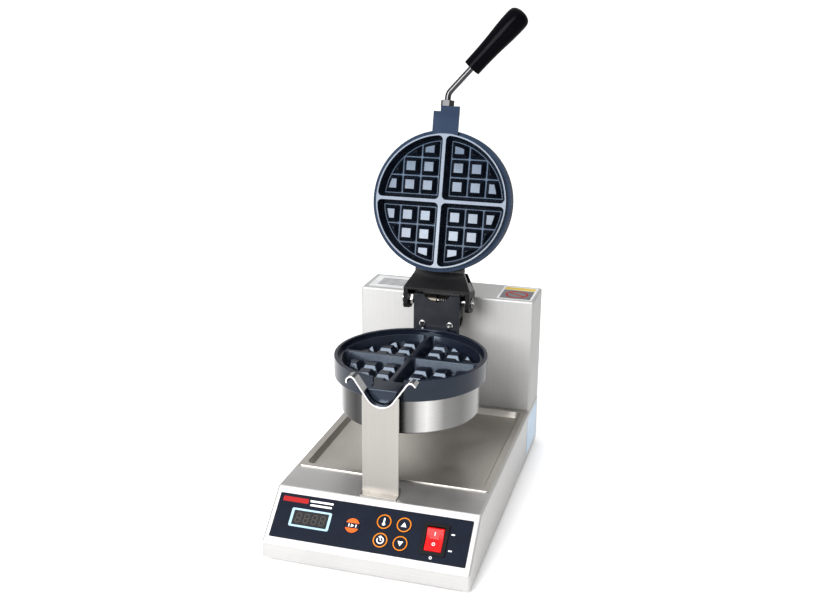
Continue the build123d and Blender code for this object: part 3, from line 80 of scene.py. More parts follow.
# ---------------------------------------------------------------- material building
class Shade:
    """A procedural material on one Principled surface, with short calls for the nodes it is built from."""

    def __init__(self, name, **sockets):
        self.material = bpy.data.materials.new(name)
        self.material.use_nodes = True
        self.nodes = self.material.node_tree.nodes
        self.links = self.material.node_tree.links
        self.surface = self.nodes["Principled BSDF"]
        for key, value in sockets.items():
            self.surface.inputs[key.replace("_", " ")].default_value = value
        coordinates = self.nodes.new("ShaderNodeTexCoord")
        self.place = coordinates.outputs["Object"]
        self.normal = coordinates.outputs["Normal"]

    def join(self, source, node, socket):
        """Feeds a socket from another socket, or sets it when the source is a plain value."""
        if isinstance(source, bpy.types.NodeSocket):
            self.links.new(source, node.inputs[socket])
        else:
            node.inputs[socket].default_value = source

    def noise(self, scale, detail=3.0, rough=0.55, warp=0.0):
        """Noise over the object, in features per metre: one number, or one for each axis."""
        stretch = self.nodes.new("ShaderNodeMapping")
        stretch.inputs["Scale"].default_value = scale if isinstance(scale, tuple) else (scale,) * 3
        self.links.new(self.place, stretch.inputs["Vector"])
        node = self.nodes.new("ShaderNodeTexNoise")
        self.links.new(stretch.outputs["Vector"], node.inputs["Vector"])
        settings = {"Scale": 1.0, "Detail": detail, "Roughness": rough, "Distortion": warp}
        for socket, number in settings.items():
            node.inputs[socket].default_value = number
        return node.outputs["Fac"]

    def remap(self, value, low, high, out_low, out_high):
        """Carries the range from low to high over to another range, and holds it there."""
        node = self.nodes.new("ShaderNodeMapRange")
        self.links.new(value, node.inputs["Value"])
        set_range(node, low, high, out_low, out_high)
        return node.outputs["Result"]

    def colours(self, value, *stops):
        """Colour ramp through (position, (r, g, b)) stops."""
        node = self.nodes.new("ShaderNodeValToRGB")
        self.links.new(value, node.inputs["Fac"])
        ramp = node.color_ramp
        while len(ramp.elements) < len(stops):
            ramp.elements.new(0.5)
        for element, (position, colour) in zip(ramp.elements, stops):
            element.position = position
            element.color = (*colour, 1)
        return node.outputs["Color"]

    def blend(self, amount, first, second, kind="MIX"):
        """Two colours mixed, from the first at amount 0 to the second at amount 1."""
        node = self.nodes.new("ShaderNodeMix")
        node.data_type = "RGBA"
        node.blend_type = kind
        for socket, source in ((0, amount), (6, first), (7, second)):
            self.join(source, node, socket)
        return node.outputs[2]

    def reckon(self, kind, first, second):
        """One step of arithmetic on two values."""
        node = self.nodes.new("ShaderNodeMath")
        node.operation = kind
        self.join(first, node, 0)
        self.join(second, node, 1)
        return node.outputs[0]

    def plus(self, first, second):
        return self.reckon("ADD", first, second)

    def times(self, first, second):
        return self.reckon("MULTIPLY", first, second)

    def measure(self, kind, vector, fixed):
        """The dot product of a vector with a fixed one, or its distance from a fixed point."""
        node = self.nodes.new("ShaderNodeVectorMath")
        node.operation = kind
        self.links.new(vector, node.inputs[0])
        node.inputs[1].default_value = fixed
        return node.outputs["Value"]

    def facing(self, direction, low, high):
        """How nearly the surface faces one direction fixed to the object, from 0 at low to 1 at high."""
        return self.remap(self.measure("DOT_PRODUCT", self.normal, direction), low, high, 0.0, 1.0)

    def within(self, centre, inner, outer, beyond):
        """1 inside a sphere, falling to another value outside it."""
        return self.remap(self.measure("DISTANCE", self.place, centre), inner, outer, 1.0, beyond)

    def raised(self, centre, direction, low, high, beneath):
        """1 for a place at least high above a plane, falling to another value at low."""
        level = centre.dot(direction)
        height = self.measure("DOT_PRODUCT", self.place, direction)
        return self.remap(height, level + low, level + high, beneath, 1.0)

    def bump(self, height, strength, distance):
        """Raises the surface by a height, which is scaled by a strength and a distance in metres."""
        node = self.nodes.new("ShaderNodeBump")
        node.inputs["Strength"].default_value = strength
        node.inputs["Distance"].default_value = distance
        self.links.new(height, node.inputs["Height"])
        self.links.new(node.outputs["Normal"], self.surface.inputs["Normal"])

    def paint(self, colour, roughness):
        """Gives the surface its colour and roughness, and hands over the finished material."""
        self.join(colour, self.surface, "Base Color")
        self.join(roughness, self.surface, "Roughness")
        return self.material


def set_range(node, low, high, out_low, out_high):
    """Sets the two ranges of a Map Range node."""
    for socket, number in (("From Min", low), ("From Max", high), ("To Min", out_low), ("To Max", out_high)):
        node.inputs[socket].default_value = number


def brushed_steel(name, light, dark, along, roughness, grain=0.35):
    """Stainless sheet: long fine and coarse scratches along one axis, under soft cloudy wiping marks."""
    shade = Shade(name, Metallic=1.0)
    fine = shade.noise(tuple(14.0 if axis == along else 2600.0 for axis in "xyz"), detail=4, rough=0.7)
    coarse = shade.noise(tuple(5.0 if axis == along else 420.0 for axis in "xyz"), detail=2)
    clouds = shade.noise(11, warp=0.6)
    lines = shade.plus(shade.times(fine, grain + 0.25), shade.times(coarse, 0.4))
    scratched = shade.colours(lines, (0.25, dark), (0.62, light))
    wiped = shade.colours(clouds, (0.3, dark), (0.65, light))
    rough = shade.plus(shade.remap(fine, 0.3, 0.7, roughness - 0.05, roughness + 0.07),
                       shade.remap(clouds, 0.35, 0.7, -0.04, 0.06))
    shade.bump(lines, grain, 0.04 * MM)
    return shade.paint(shade.blend(0.35, scratched, wiped), rough)


WAFFLE_FADE = (88.5 * MM, 89.5 * MM)    # across this, the painted highlight on the waffle flats gives way to the blue coat of the rim
RIM_COAT = (0.008, 0.013, 0.026, 1)
RIM_SPECKS = (0.035, 0.045, 0.070, 1)
# pale colour of the painted highlight on the waffle flats, in place of a reflection
PAINTED_SHEEN = (0.30, 0.315, 0.34, 1)
RIM_SMOOTHER = 0.34
SHEEN_SPOT = Vector((0, 0, -75 * MM))    # from the centre of the open waffle to where the painted highlight is strongest
SHEEN_REACH = (40 * MM, 140 * MM)
TOP_FLATS = (-4 * MM, -1.5 * MM)        # heights over the mating face, between which the painted highlight on the top flats begins
FLOOR_FLATS = (-14.5 * MM, -10.5 * MM)  # and between which the pocket floors, with little painted highlight, end


def paint_sheen_on_flats(shade, tone, inside, sparkle, specks, direction, centre):
    """Paints a pale highlight into the colour of the flats that face a direction, strongest near one spot, then on
    the top ones.
    """
    tone = shade.blend(inside, shade.blend(sparkle, RIM_COAT, RIM_SPECKS), tone)
    spot = shade.times(shade.within(centre + SHEEN_SPOT, *SHEEN_REACH, 0.2), 0.85)
    top = shade.times(shade.raised(centre, direction, *TOP_FLATS, 0.0), 0.55)
    flats = shade.times(shade.facing(direction, 0.955, 0.992), inside)
    speckled = shade.times(flats, shade.remap(specks, 0.35, 0.68, 0.5, 1.0))
    painted_sheen_amount = shade.times(speckled, shade.raised(centre, direction, *FLOOR_FLATS, 0.2))
    # painted highlight: flats facing one way are painted paler, in place of a reflection
    return shade.blend(shade.times(painted_sheen_amount, shade.reckon("MAXIMUM", spot, top)), tone, PAINTED_SHEEN)


def coated_casting(name, dark, light, roughness, speckle, gloss, tint, rubbed=None):
    """Cast metal under a thin non-stick coat, with orange-peel grain and tiny bright specks.

    For a waffle face, a direction and a centre: its flats that face that way get a painted highlight, a paler
    colour.
    """
    shade = Shade(name, Specular_IOR_Level=gloss, Specular_Tint=(*tint, 1))
    grain = shade.noise(1500, rough=0.6)
    specks = shade.noise(2600, detail=2)
    patches = shade.noise(38, detail=4, warp=0.4)
    sparkle = shade.remap(specks, 0.56, 0.72, 0.0, speckle)
    bright = (*[min(1, 3.2 * level + 0.02) for level in light], 1)
    tone = shade.blend(sparkle, shade.colours(patches, (0.3, dark), (0.72, light)), bright)
    rough = shade.remap(patches, 0.25, 0.75, roughness - 0.05, roughness + 0.11)
    if rubbed:
        direction, centre = rubbed
        inside = shade.within(centre, *WAFFLE_FADE, 0.0)
        # painted highlight on the waffle flats
        tone = paint_sheen_on_flats(shade, tone, inside, sparkle, specks, direction, centre)
        rough = shade.plus(rough, shade.remap(inside, 0.0, 1.0, RIM_SMOOTHER, 0.0))
    shade.bump(grain, 0.25, 0.08 * MM)
    return shade.paint(tone, rough)


# Painted reflections and painted shade: grey levels by angle round the cup's axis, multiplied into its colour.
PAINTED_REFLECTION_STOPS = (
    (0.0, 0.5), (0.06, 0.6), (0.085, 0.4), (0.115, 0.09), (0.16, 0.06), (0.20, 0.2), (0.265, 0.1),
    (0.274, 0.07), (0.284, 0.2), (0.30, 0.3), (0.315, 0.72), (0.332, 1.0), (0.35, 0.7), (0.372, 0.34),
    (0.42, 0.26), (0.47, 0.42), (0.52, 0.6), (0.62, 0.3), (0.75, 0.7), (0.88, 0.3), (1.0, 0.5),
)


def steel_with_painted_bands(name, light, dark, centre):
    """Spun cup: brushed round its axis, with broad light and dark bands round the axis painted into its colour as
    painted reflections and painted shade.
    """
    shade = Shade(name, Metallic=1.0)
    about_axis = shade.nodes.new("ShaderNodeMapping")
    about_axis.inputs["Location"].default_value = -centre
    shade.links.new(shade.place, about_axis.inputs["Vector"])
    radial = shade.nodes.new("ShaderNodeTexGradient")
    radial.gradient_type = "RADIAL"
    shade.links.new(about_axis.outputs["Vector"], radial.inputs["Vector"])
    # painted reflections and painted shade, as bands of colour round the axis
    painted_bands = shade.colours(radial.outputs["Fac"], *[(part, (level,) * 3) for part, level in PAINTED_REFLECTION_STOPS])
    fine = shade.noise((16, 16, 2600), detail=4, rough=0.7)
    lines = shade.colours(fine, (0.25, dark), (0.62, light))
    shade.bump(fine, 0.12, 0.03 * MM)
    return shade.paint(shade.blend(1.0, lines, painted_bands, "MULTIPLY"), shade.remap(fine, 0.3, 0.7, 0.22, 0.33))


def glossy_black(name, colour, roughness, wave, gloss):
    """Shiny black enamel or phenolic moulding with a slightly uneven skin and fine handling marks."""
    shade = Shade(name, Specular_IOR_Level=gloss)
    swell = shade.noise(120, detail=2)
    handled = shade.noise(300, detail=4, rough=0.6)
    tone = shade.colours(handled, (0.35, colour), (0.8, tuple(1.6 * level for level in colour)))
    shade.bump(swell, wave, 0.2 * MM)
    return shade.paint(tone, shade.remap(handled, 0.3, 0.75, roughness - 0.02, roughness + 0.05))


def bright_metal(name, light, dark, roughness):
    """Polished or plated metal with faint polishing swirls."""
    shade = Shade(name, Metallic=1.0)
    swirl = shade.noise(260, detail=5, rough=0.7, warp=1.5)
    shade.bump(swirl, 0.08, 0.1 * MM)
    return shade.paint(shade.colours(swirl, (0.3, dark), (0.7, light)),
                       shade.remap(swirl, 0.3, 0.75, roughness - 0.04, roughness + 0.08))


def moulded(name, dark, light, roughness, grain=900.0, depth=0.05 * MM, **sockets):
    """Plastic, rubber, film or wool: an even colour with a fine surface texture and slight unevenness."""
    shade = Shade(name, **sockets)
    texture = shade.noise(grain)
    cloud = shade.noise(45)
    shade.bump(texture, 0.3, depth)
    return shade.paint(shade.colours(cloud, (0.3, dark), (0.7, light)),
                       shade.remap(texture, 0.3, 0.7, roughness - 0.06, roughness + 0.08))


# ---------------------------------------------------------------- the materials, by kind
DARK_FILM = dict(dark=(0.0020, 0.0034, 0.0085), light=(0.0030, 0.0050, 0.0120), Specular_IOR_Level=0.09)

LOOKS = {
    brushed_steel: {
        "housing_steel": dict(light=(0.435, 0.433, 0.43), dark=(0.36, 0.358, 0.355), along="z",
                              roughness=0.62, grain=0.12),
        "base_steel": dict(light=(0.45, 0.445, 0.44), dark=(0.375, 0.37, 0.365), along="x",
                           roughness=0.43, grain=0.16),
        "panel_steel": dict(light=(0.5, 0.49, 0.48), dark=(0.4, 0.39, 0.38), along="x", roughness=0.34),
        "tray_steel": dict(light=(0.45, 0.43, 0.40), dark=(0.37, 0.35, 0.32), along="y",
                           roughness=0.38, grain=0.06),
        "support_steel": dict(light=(0.285, 0.273, 0.257), dark=(0.235, 0.224, 0.21), along="z",
                              roughness=0.36, grain=0.12),
        "cover_steel": dict(light=(0.54, 0.53, 0.52), dark=(0.42, 0.41, 0.4), along="x", roughness=0.26),
    },
    bright_metal: {
        "polished_steel": dict(light=(0.56, 0.56, 0.56), dark=(0.44, 0.44, 0.44), roughness=0.12),
        "screw_steel": dict(light=(0.6, 0.59, 0.57), dark=(0.42, 0.41, 0.4), roughness=0.16),
        "turned_steel": dict(light=(0.28, 0.275, 0.27), dark=(0.2, 0.195, 0.19), roughness=0.24),
        "bearing_steel": dict(light=(0.4, 0.4, 0.41), dark=(0.28, 0.28, 0.29), roughness=0.35),
        "bronze": dict(light=(0.06, 0.054, 0.047), dark=(0.04, 0.036, 0.03), roughness=0.35),
        "spring_steel": dict(light=(0.07, 0.068, 0.065), dark=(0.045, 0.044, 0.042), roughness=0.3),
        "nut_steel": dict(light=(0.048, 0.048, 0.05), dark=(0.036, 0.036, 0.038), roughness=0.4),
        "chrome_rod": dict(light=(0.050, 0.050, 0.052), dark=(0.036, 0.036, 0.038), roughness=0.2),
        "heater_steel": dict(light=(0.34, 0.32, 0.3), dark=(0.2, 0.18, 0.16), roughness=0.45),
        "standoff_brass": dict(light=(0.8, 0.64, 0.3), dark=(0.6, 0.46, 0.2), roughness=0.25),
    },
    steel_with_painted_bands: {
        "spun_steel": dict(light=(0.50, 0.495, 0.49), dark=(0.44, 0.435, 0.43),
                           centre=LOWER_FACE.translation),
    },
    coated_casting: {
        "coated_casting": dict(dark=(0.002, 0.003, 0.006), light=(0.0045, 0.0065, 0.013), roughness=0.18,
                               speckle=0.5, gloss=0.30, tint=(0.70, 0.83, 1.0)),
        "upper_casting": dict(dark=(0.0015, 0.002, 0.004), light=(0.0035, 0.005, 0.009), roughness=0.27,
                              speckle=0.3, gloss=0.2, tint=(0.46, 0.68, 1.0),
                              # the flats of its waffle face get a painted highlight
                              rubbed=(UPPER_OUT, UPPER_FACE.translation)),
        "black_steel": dict(dark=(0.007, 0.008, 0.010), light=(0.013, 0.014, 0.017), roughness=0.40,
                            speckle=0.1, gloss=0.2, tint=(0.85, 0.92, 1.0)),
    },
    glossy_black: {
        "black_casting": dict(colour=(0.0025, 0.0025, 0.003), roughness=0.3, wave=0.15, gloss=0.12),
        "grip_plastic": dict(colour=(0.0010, 0.0010, 0.0016), roughness=0.16, wave=0.08, gloss=0.015),
    },
    moulded: {
        "insulation_wool": dict(dark=(0.72, 0.69, 0.62), light=(0.86, 0.84, 0.78), roughness=0.9,
                                grain=700, depth=0.4 * MM),
        "overlay_film": dict(roughness=0.3, **DARK_FILM),
        "key_plastic": dict(roughness=0.35, **DARK_FILM),
        "frame_plastic": dict(dark=(0.21, 0.33, 0.43), light=(0.27, 0.39, 0.48), roughness=0.35,
                              Specular_IOR_Level=0.25),
        "lens_plastic": dict(dark=(0.010, 0.0095, 0.0105), light=(0.014, 0.0135, 0.0145), roughness=0.25,
                             Specular_IOR_Level=0.12),
        "module_plastic": dict(dark=(0.02, 0.02, 0.02), light=(0.035, 0.035, 0.035), roughness=0.5),
        "black_plastic": dict(dark=(0.003, 0.003, 0.0035), light=(0.005, 0.005, 0.006), roughness=0.4,
                              Specular_IOR_Level=0.08),
        # painted glow: a faint red emission, though the switch is off
        "rocker_plastic": dict(dark=(0.40, 0.004, 0.006), light=(0.55, 0.010, 0.010), roughness=0.16,
                               Specular_IOR_Level=0.06, Emission_Color=(1, 0.02, 0.01, 1),
                               Emission_Strength=0.1),
        "key_orange": dict(dark=(0.40, 0.112, 0.003), light=(0.47, 0.140, 0.005), roughness=0.5,
                           Specular_IOR_Level=0.1),
        "start_orange": dict(dark=(0.40, 0.062, 0.006), light=(0.47, 0.080, 0.010), roughness=0.5,
                             Specular_IOR_Level=0.1),
        "print_red": dict(dark=(0.20, 0.002, 0.003), light=(0.25, 0.004, 0.004), roughness=0.5,
                          Specular_IOR_Level=0.15),
        "print_soft_grey": dict(dark=(0.06, 0.063, 0.066), light=(0.09, 0.094, 0.098), roughness=0.5),
        "print_white": dict(dark=(0.52, 0.53, 0.54), light=(0.6, 0.6, 0.6), roughness=0.5),
        "print_grey": dict(dark=(0.055, 0.057, 0.06), light=(0.085, 0.087, 0.092), roughness=0.45),
        "print_yellow": dict(dark=(0.42, 0.29, 0.012), light=(0.5, 0.35, 0.02), roughness=0.45),
        "segment_dark": dict(dark=(0.032, 0.029, 0.028), light=(0.040, 0.036, 0.035), roughness=0.3,
                             Specular_IOR_Level=0.12),
        "board_laminate": dict(dark=(0.01, 0.12, 0.05), light=(0.02, 0.2, 0.09), roughness=0.4),
        "rubber": dict(dark=(0.012, 0.012, 0.012), light=(0.03, 0.03, 0.03), roughness=0.75,
                       grain=1400, depth=0.1 * MM),
        "label_film": dict(dark=(0.42, 0.43, 0.44), light=(0.5, 0.5, 0.5), roughness=0.45),
        "pale_film": dict(dark=(0.33, 0.44, 0.56), light=(0.40, 0.50, 0.62), roughness=0.4),
    },
}
materials = {name: make(name, **look) for make, looks in LOOKS.items() for name, look in looks.items()}

slot_of = {row["node"]: row["material_slot"] for row in frame["record"]["subparts"]}
body_of = {node: body for body, nodes in frame["record"]["behaviour"]["bodies"].items() for node in nodes}
# These nodes look different from others that share their slot; the rest take the material of their slot.
SPECIAL_MATERIALS = {
    "base_housing": "base_steel", "upper_mould": "upper_casting", "lower_cover": "spun_steel",
    "handle_nut": "nut_steel", "side_label": "pale_film",
}
material_of = {**slot_of, **SPECIAL_MATERIALS}


def dress(thing, name):
    """Leaves an object with one material."""
    thing.data.materials.clear()
    thing.data.materials.append(materials[name])


for node, thing in frame["nodes"].items():
    dress(thing, material_of[node])


# ---------------------------------------------------------------- mesh building
SHADING_ANGLE = radians(35)
SHARP_ANGLE = radians(30)
FLAT_ANGLE = radians(0.4)
WELD = 2e-6
WAFFLE_RADIUS = 87.5 * MM
OUTER_SHARE = 0.6
CASTING_FACES = {"lower_mould": LOWER_FACE, "upper_mould": UPPER_FACE}


def finish_mesh(mesh, name, material, body):
    """Turns a bmesh into a smooth-shaded object that rides on a body."""
    bmesh.ops.recalc_face_normals(mesh, faces=mesh.faces)
    data = bpy.data.meshes.new(name)
    mesh.to_mesh(data)
    mesh.free()
    data.polygons.foreach_set("use_smooth", [True] * len(data.polygons))
    data.set_sharp_from_angle(angle=SHADING_ANGLE)
    thing = bpy.data.objects.new(name, data)
    bpy.context.scene.collection.objects.link(thing)
    dress(thing, material)
    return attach(thing, body)


def round_over(mesh, width, keep=lambda edge: True, clamp=True, segments=3):
    """Bevels the sharp edges that keep picks."""
    edges = [edge for edge in mesh.edges
             if len(edge.link_faces) == 2 and edge.calc_face_angle() > SHARP_ANGLE and keep(edge)]
    bmesh.ops.bevel(mesh, geom=edges, offset=width, offset_type="OFFSET", segments=segments, profile=0.5,
                    affect="EDGES", clamp_overlap=clamp)


def settle_faces(mesh):
    """Lists the faces in an order set by their corners alone, which a second bevel leaves to chance."""
    mesh.verts.index_update()
    ordered = sorted(mesh.faces, key=lambda face: sorted(vert.index for vert in face.verts))
    rank = {face: number for number, face in enumerate(ordered)}
    mesh.faces.sort(key=lambda face: rank[face])


def round_casting(mesh, width, face):
    """Bevels a casting: first its pockets, studs and cross, then the rest by a smaller width.

    The clamp holds every bevel of a call to what its tightest edge allows, so the first call goes without.
    """
    to_face = face.inverted()

    def in_waffle(edge):
        return all((to_face @ vert.co).xy.length < WAFFLE_RADIUS for vert in edge.verts)

    round_over(mesh, width, in_waffle, clamp=False)
    round_over(mesh, OUTER_SHARE * width, lambda edge: not in_waffle(edge))
    settle_faces(mesh)


def soften(node, width):
    """Stands in for a CAD node with the same shape, its sharp edges rounded over to a width."""
    mesh = bmesh.new()
    mesh.from_mesh(frame["nodes"][node].data)
    bmesh.ops.remove_doubles(mesh, verts=mesh.verts, dist=WELD)
    bmesh.ops.dissolve_limit(mesh, angle_limit=FLAT_ANGLE, verts=mesh.verts, edges=mesh.edges)
    if node in CASTING_FACES:
        round_casting(mesh, width, CASTING_FACES[node])
    else:
        round_over(mesh, width)
    thing = finish_mesh(mesh, node + "_soft", material_of[node], body_of[node])
    level = thing.modifiers.new("level_flats", "WEIGHTED_NORMAL")
    level.keep_sharp = True
    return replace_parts(thing, node)


# ---------------------------------------------------------------- softened CAD pieces
SOFT_WIDTHS = {
    "base_housing": 0.35, "tower_housing": 0.35, "drip_tray": 0.25, "support_plate": 0.3,
    "support_yoke": 0.35, "control_overlay": 0.2, "display_frame": 0.2, "switch_bezel": 0.3,
    "switch_body": 0.3, "power_rocker": 0.6, "lower_mould": 0.8, "upper_mould": 0.8, "lower_cover": 0.3,
    "upper_cover": 0.3, "hinge_bracket": 0.4, "hinge_arm": 0.9, "hinge_pin": 0.3, "hinge_nut": 0.4,
    "handle_nut": 0.4, "shaft_flange": 0.5, "front_bearing": 0.4, "tower_back_cover": 0.3,
    "base_bottom_plate": 0.3, "cable_gland": 0.4, "start_button": 0.2, "temperature_button": 0.2,
    "timer_button": 0.2, "up_button": 0.2, "down_button": 0.2, "display_lens": 0.1, "neck_bolts": 0.3,
    "arm_bolts": 0.3,
}
for node, width in SOFT_WIDTHS.items():
    soften(node, width * MM)


# ---------------------------------------------------------------- drawing of flat marks, in millimetres
PRINT = 0.06


def stamp(mesh, place, loops, bottom, top):
    """Adds a flat raised mark to a mesh: an outline with holes, between two heights over a plane."""
    corners = [[Vector((x * MM, y * MM, 0)) for x, y in loop] for loop in loops]
    flat = [point for loop in corners for point in loop]
    upper = [mesh.verts.new(place @ Vector((p.x, p.y, top * MM))) for p in flat]
    lower = [mesh.verts.new(place @ Vector((p.x, p.y, bottom * MM))) for p in flat]
    for a, b, c in tessellate_polygon(corners):
        mesh.faces.new((upper[a], upper[b], upper[c]))
        mesh.faces.new((lower[c], lower[b], lower[a]))
    first = 0
    for loop in corners:
        for i in range(len(loop)):
            a, b = first + i, first + (i + 1) % len(loop)
            mesh.faces.new((upper[a], lower[a], lower[b], upper[b]))
        first += len(loop)


def marks(name, place, shapes, bottom, material, body):
    """One printed piece made of several shapes, each a list of loops, a print's thickness high."""
    mesh = bmesh.new()
    for loops in shapes:
        stamp(mesh, place, loops, bottom, bottom + PRINT)
    return finish_mesh(mesh, name, material, body)


def ring_points(radius, count, start=0.0, end=2 * pi, centre=(0, 0)):
    """Points on an arc, from start towards end; a whole turn leaves the last point out."""
    whole = abs(end - start) >= 2 * pi - 1e-6
    steps = count if whole else count - 1
    return [
        (centre[0] + radius * cos(start + (end - start) * i / steps),
         centre[1] + radius * sin(start + (end - start) * i / steps))
        for i in range(count)
    ]


def washer(outer, inner, count, centre=(0, 0)):
    """A whole ring, as one shape of two loops."""
    return [ring_points(outer, count, centre=centre), ring_points(inner, count, centre=centre)[::-1]]


def arc_band(outer, inner, start, end, count=40):
    """Part of a ring, as one loop."""
    return ring_points(outer, count, start, end) + ring_points(inner, count, end, start)


def bar(centre, size, turn=0.0, round_by=0.0):
    """Rectangle outline, turned by an angle, with its corners rounded."""
    half_x, half_y = size[0] / 2 - round_by, size[1] / 2 - round_by
    points = []
    for sx, sy, start in ((1, 1, 0), (-1, 1, pi / 2), (-1, -1, pi), (1, -1, 3 * pi / 2)):
        if round_by:
            points += ring_points(round_by, 5, start, start + pi / 2, (sx * half_x, sy * half_y))
        else:
            points.append((sx * half_x, sy * half_y))
    return [
        (centre[0] + x * cos(turn) - y * sin(turn), centre[1] + x * sin(turn) + y * cos(turn))
        for x, y in points
    ]


# ---------------------------------------------------------------- marks on the panel
OVERLAY_TOP = 1.0
LENS_TOP = 1.3
KEY_TOP = 1.5
DISPLAY = (-73.2, 34.6)
SWITCH = (77.5, 34.5)
KEYS = {"start": (-21.3, 35.3), "temperature": (15.0, 45.7), "timer": (15.4, 23.6), "up": (39.0, 45.6),
        "down": (39.2, 23.5)}
RING_OUTER, RING_INNER = 8.6, 7.35


def segment(centre, length, thick, upright):
    """One six-sided bar of a seven-segment digit."""
    half, side = length / 2, thick / 2
    outline = [(-half, 0), (-half + side, -side), (half - side, -side), (half, 0), (half - side, side),
               (-half + side, side)]
    if upright:
        outline = [(-y, x) for x, y in outline]
    return [(centre[0] + x, centre[1] + y) for x, y in outline]


def digits():
    """Four unlit, slanted digits with all their segments."""
    width, height, thick, pitch, gap, slant = 5.3, 5.4, 1.25, 9.9, 0.4, 0.1
    bars = [segment((0, level * height), width - gap, thick, False) for level in (-1, 0, 1)]
    bars += [segment((sx * width / 2, sy * height / 2), height - gap, thick, True)
             for sx in (-1, 1) for sy in (-1, 1)]
    middles = [DISPLAY[0] + (place - 1.5) * pitch for place in range(4)]
    shapes = [[[(x + slant * y + middle, y + DISPLAY[1]) for x, y in loop]]
              for middle in middles for loop in bars]
    marks("display_digits", PANEL, shapes, LENS_TOP, "segment_dark", "base")


def thermometer():
    """A round bulb and a round-topped stem in one outline."""
    bulb = ring_points(1.9, 20, radians(120), radians(420), (0, -2.8))
    stem_top = ring_points(0.95, 9, 0, pi, (0, 3.6))
    return [[bulb + stem_top]]


def timer_arrow():
    """Most of a ring that ends in an arrow head, round the two hands of a clock."""
    outer, inner = 4.35, 3.15
    head = [(0.2, 2.0), (0.2, 5.6), (-3.0, 3.8)]
    hands = [(-0.35, 2.2), (-0.35, -0.45), (1.7, -0.45), (1.7, 0.25), (0.35, 0.25), (0.35, 2.2)]
    return [[arc_band(outer, inner, radians(150), radians(450))], [head], [hands]]


def play_sign():
    """A triangle between two upright bars."""
    triangle = [(-1.5, -2.0), (2.3, 0), (-1.5, 2.0)]
    bar_size = (1.1, 3.6)
    return [[triangle], [bar((-4.0, 0), bar_size)], [bar((4.6, 0), bar_size)]]


def key_mark(key, part, shapes, material):
    """A print centred on a key, which it rides on."""
    across, up = KEYS[key]
    placed = [[[(x + across, y + up) for x, y in loop] for loop in shape] for shape in shapes]
    marks(f"{key}_{part}", PANEL, placed, KEY_TOP, material, f"{key}_key")


def key_prints():
    """A ring and an icon on four keys, and two caps with an icon between them on the start key."""
    arrow = [(-3.3, -2.5), (3.3, -2.5), (0, 3.1)]
    icons = {"temperature": thermometer(), "timer": timer_arrow(), "up": [[arrow]],
             "down": [[[(-x, -y) for x, y in arrow]]]}
    for key, icon in icons.items():
        key_mark(key, "ring", [washer(RING_OUTER, RING_INNER, 64)], "key_orange")
        key_mark(key, "icon", icon, "print_white")
    half_band = radians(21)
    caps = [[ring_points(RING_OUTER, 33, half_band + side, pi - half_band + side)] for side in (0, pi)]
    key_mark("start", "caps", caps, "start_orange")
    key_mark("start", "icon", play_sign(), "print_white")


def panel_mark(name, shapes, material):
    """A print on the panel's film."""
    marks(name, PANEL, shapes, OVERLAY_TOP, material, "base")


def panel_stripes():
    """Plain stripes where a maker would print a name."""
    pale_middle, top_row, row_pitch = -64.5, 56.6, 4.8
    pale = [[bar((pale_middle, top_row - row_pitch * row), (29 - 2 * row, 2.3), round_by=0.9)]
            for row in (0, 1)]
    panel_mark("panel_stripe_red", [[bar((-97, 55.6), (32, 6), round_by=1.2)]], "print_red")
    panel_mark("panel_stripes_pale", pale, "print_white")


def switch_signs():
    """Plain dashes and a ring beside the switch, for its two positions."""
    across, up = SWITCH
    signs = [[bar((across + 20, up + side), (4.2, 1.5), round_by=0.5)] for side in (8.5, -10.5)]
    signs += [washer(1.7, 1.0, 32, (across - 0.5, up - 21.5))]
    panel_mark("switch_signs", signs, "print_white")


def rocker_face():
    """Raised pad and the two moulded signs on the rocker, which folds along its middle."""
    fold, fold_height = radians(16), 1.9
    half_width, reach, corner = 5.6, 10.2, 2.6
    pad_bottom, pad_top, pad_edge = -0.2, 0.7, 0.25
    sign_middle = 6.0
    lower = PANEL @ Matrix.Translation((SWITCH[0] * MM, SWITCH[1] * MM, fold_height * MM))
    upper = lower @ Matrix.Rotation(fold, 4, "X")
    arc = ring_points(corner, 7, 0, pi / 2, (half_width - corner, reach - corner))
    arc += ring_points(corner, 7, pi / 2, pi, (corner - half_width, reach - corner))
    half_pad = [(half_width, 0), *arc, (-half_width, 0)]
    mesh = bmesh.new()
    stamp(mesh, upper, [half_pad], pad_bottom, pad_top)
    stamp(mesh, lower, [[(x, -y) for x, y in half_pad[::-1]]], pad_bottom, pad_top)
    round_over(mesh, pad_edge * MM, segments=2)
    finish_mesh(mesh, "rocker_pad", "rocker_plastic", "rocker")
    line = [bar((0, sign_middle), (0.8, 4.0))]
    circle = washer(1.9, 1.2, 32, (0, -sign_middle))
    for name, place, shape in (("rocker_line", upper, line), ("rocker_circle", lower, circle)):
        marks(name, place, [shape], pad_top, "print_white", "rocker")


# ---------------------------------------------------------------- marks on the tower
FILM_TOP = 0.3


def tower_mark(name, shapes, bottom, material):
    """A print on the label films of the tower top."""
    marks(name, TOWER_TOP, shapes, bottom, material, "base")


def label_prints():
    """Plain colour fields on the label films, with no lettering."""
    right, left = 96.0, -81.0
    field_width, dark_middle = 43, (right, -7.6)
    top_row, row_pitch = 14, 5.4
    rows = [[bar((left, top_row - row_pitch * row), (50, 2.9))] for row in range(6)]
    tower_mark("label_yellow_field", [[bar((right, 19.8), (field_width, 12))]], FILM_TOP, "print_yellow")
    tower_mark("label_dark_field", [[bar(dark_middle, (field_width, 40))]], FILM_TOP, "print_grey")
    tower_mark("label_grey_rows", rows, FILM_TOP, "print_soft_grey")
    tower_mark("label_ring", [washer(16, 13, 48, dark_middle)], FILM_TOP + PRINT, "print_red")
    tower_mark("label_slash", [[bar(dark_middle, (27, 2.8), turn=-0.6)]], FILM_TOP + PRINT, "print_red")


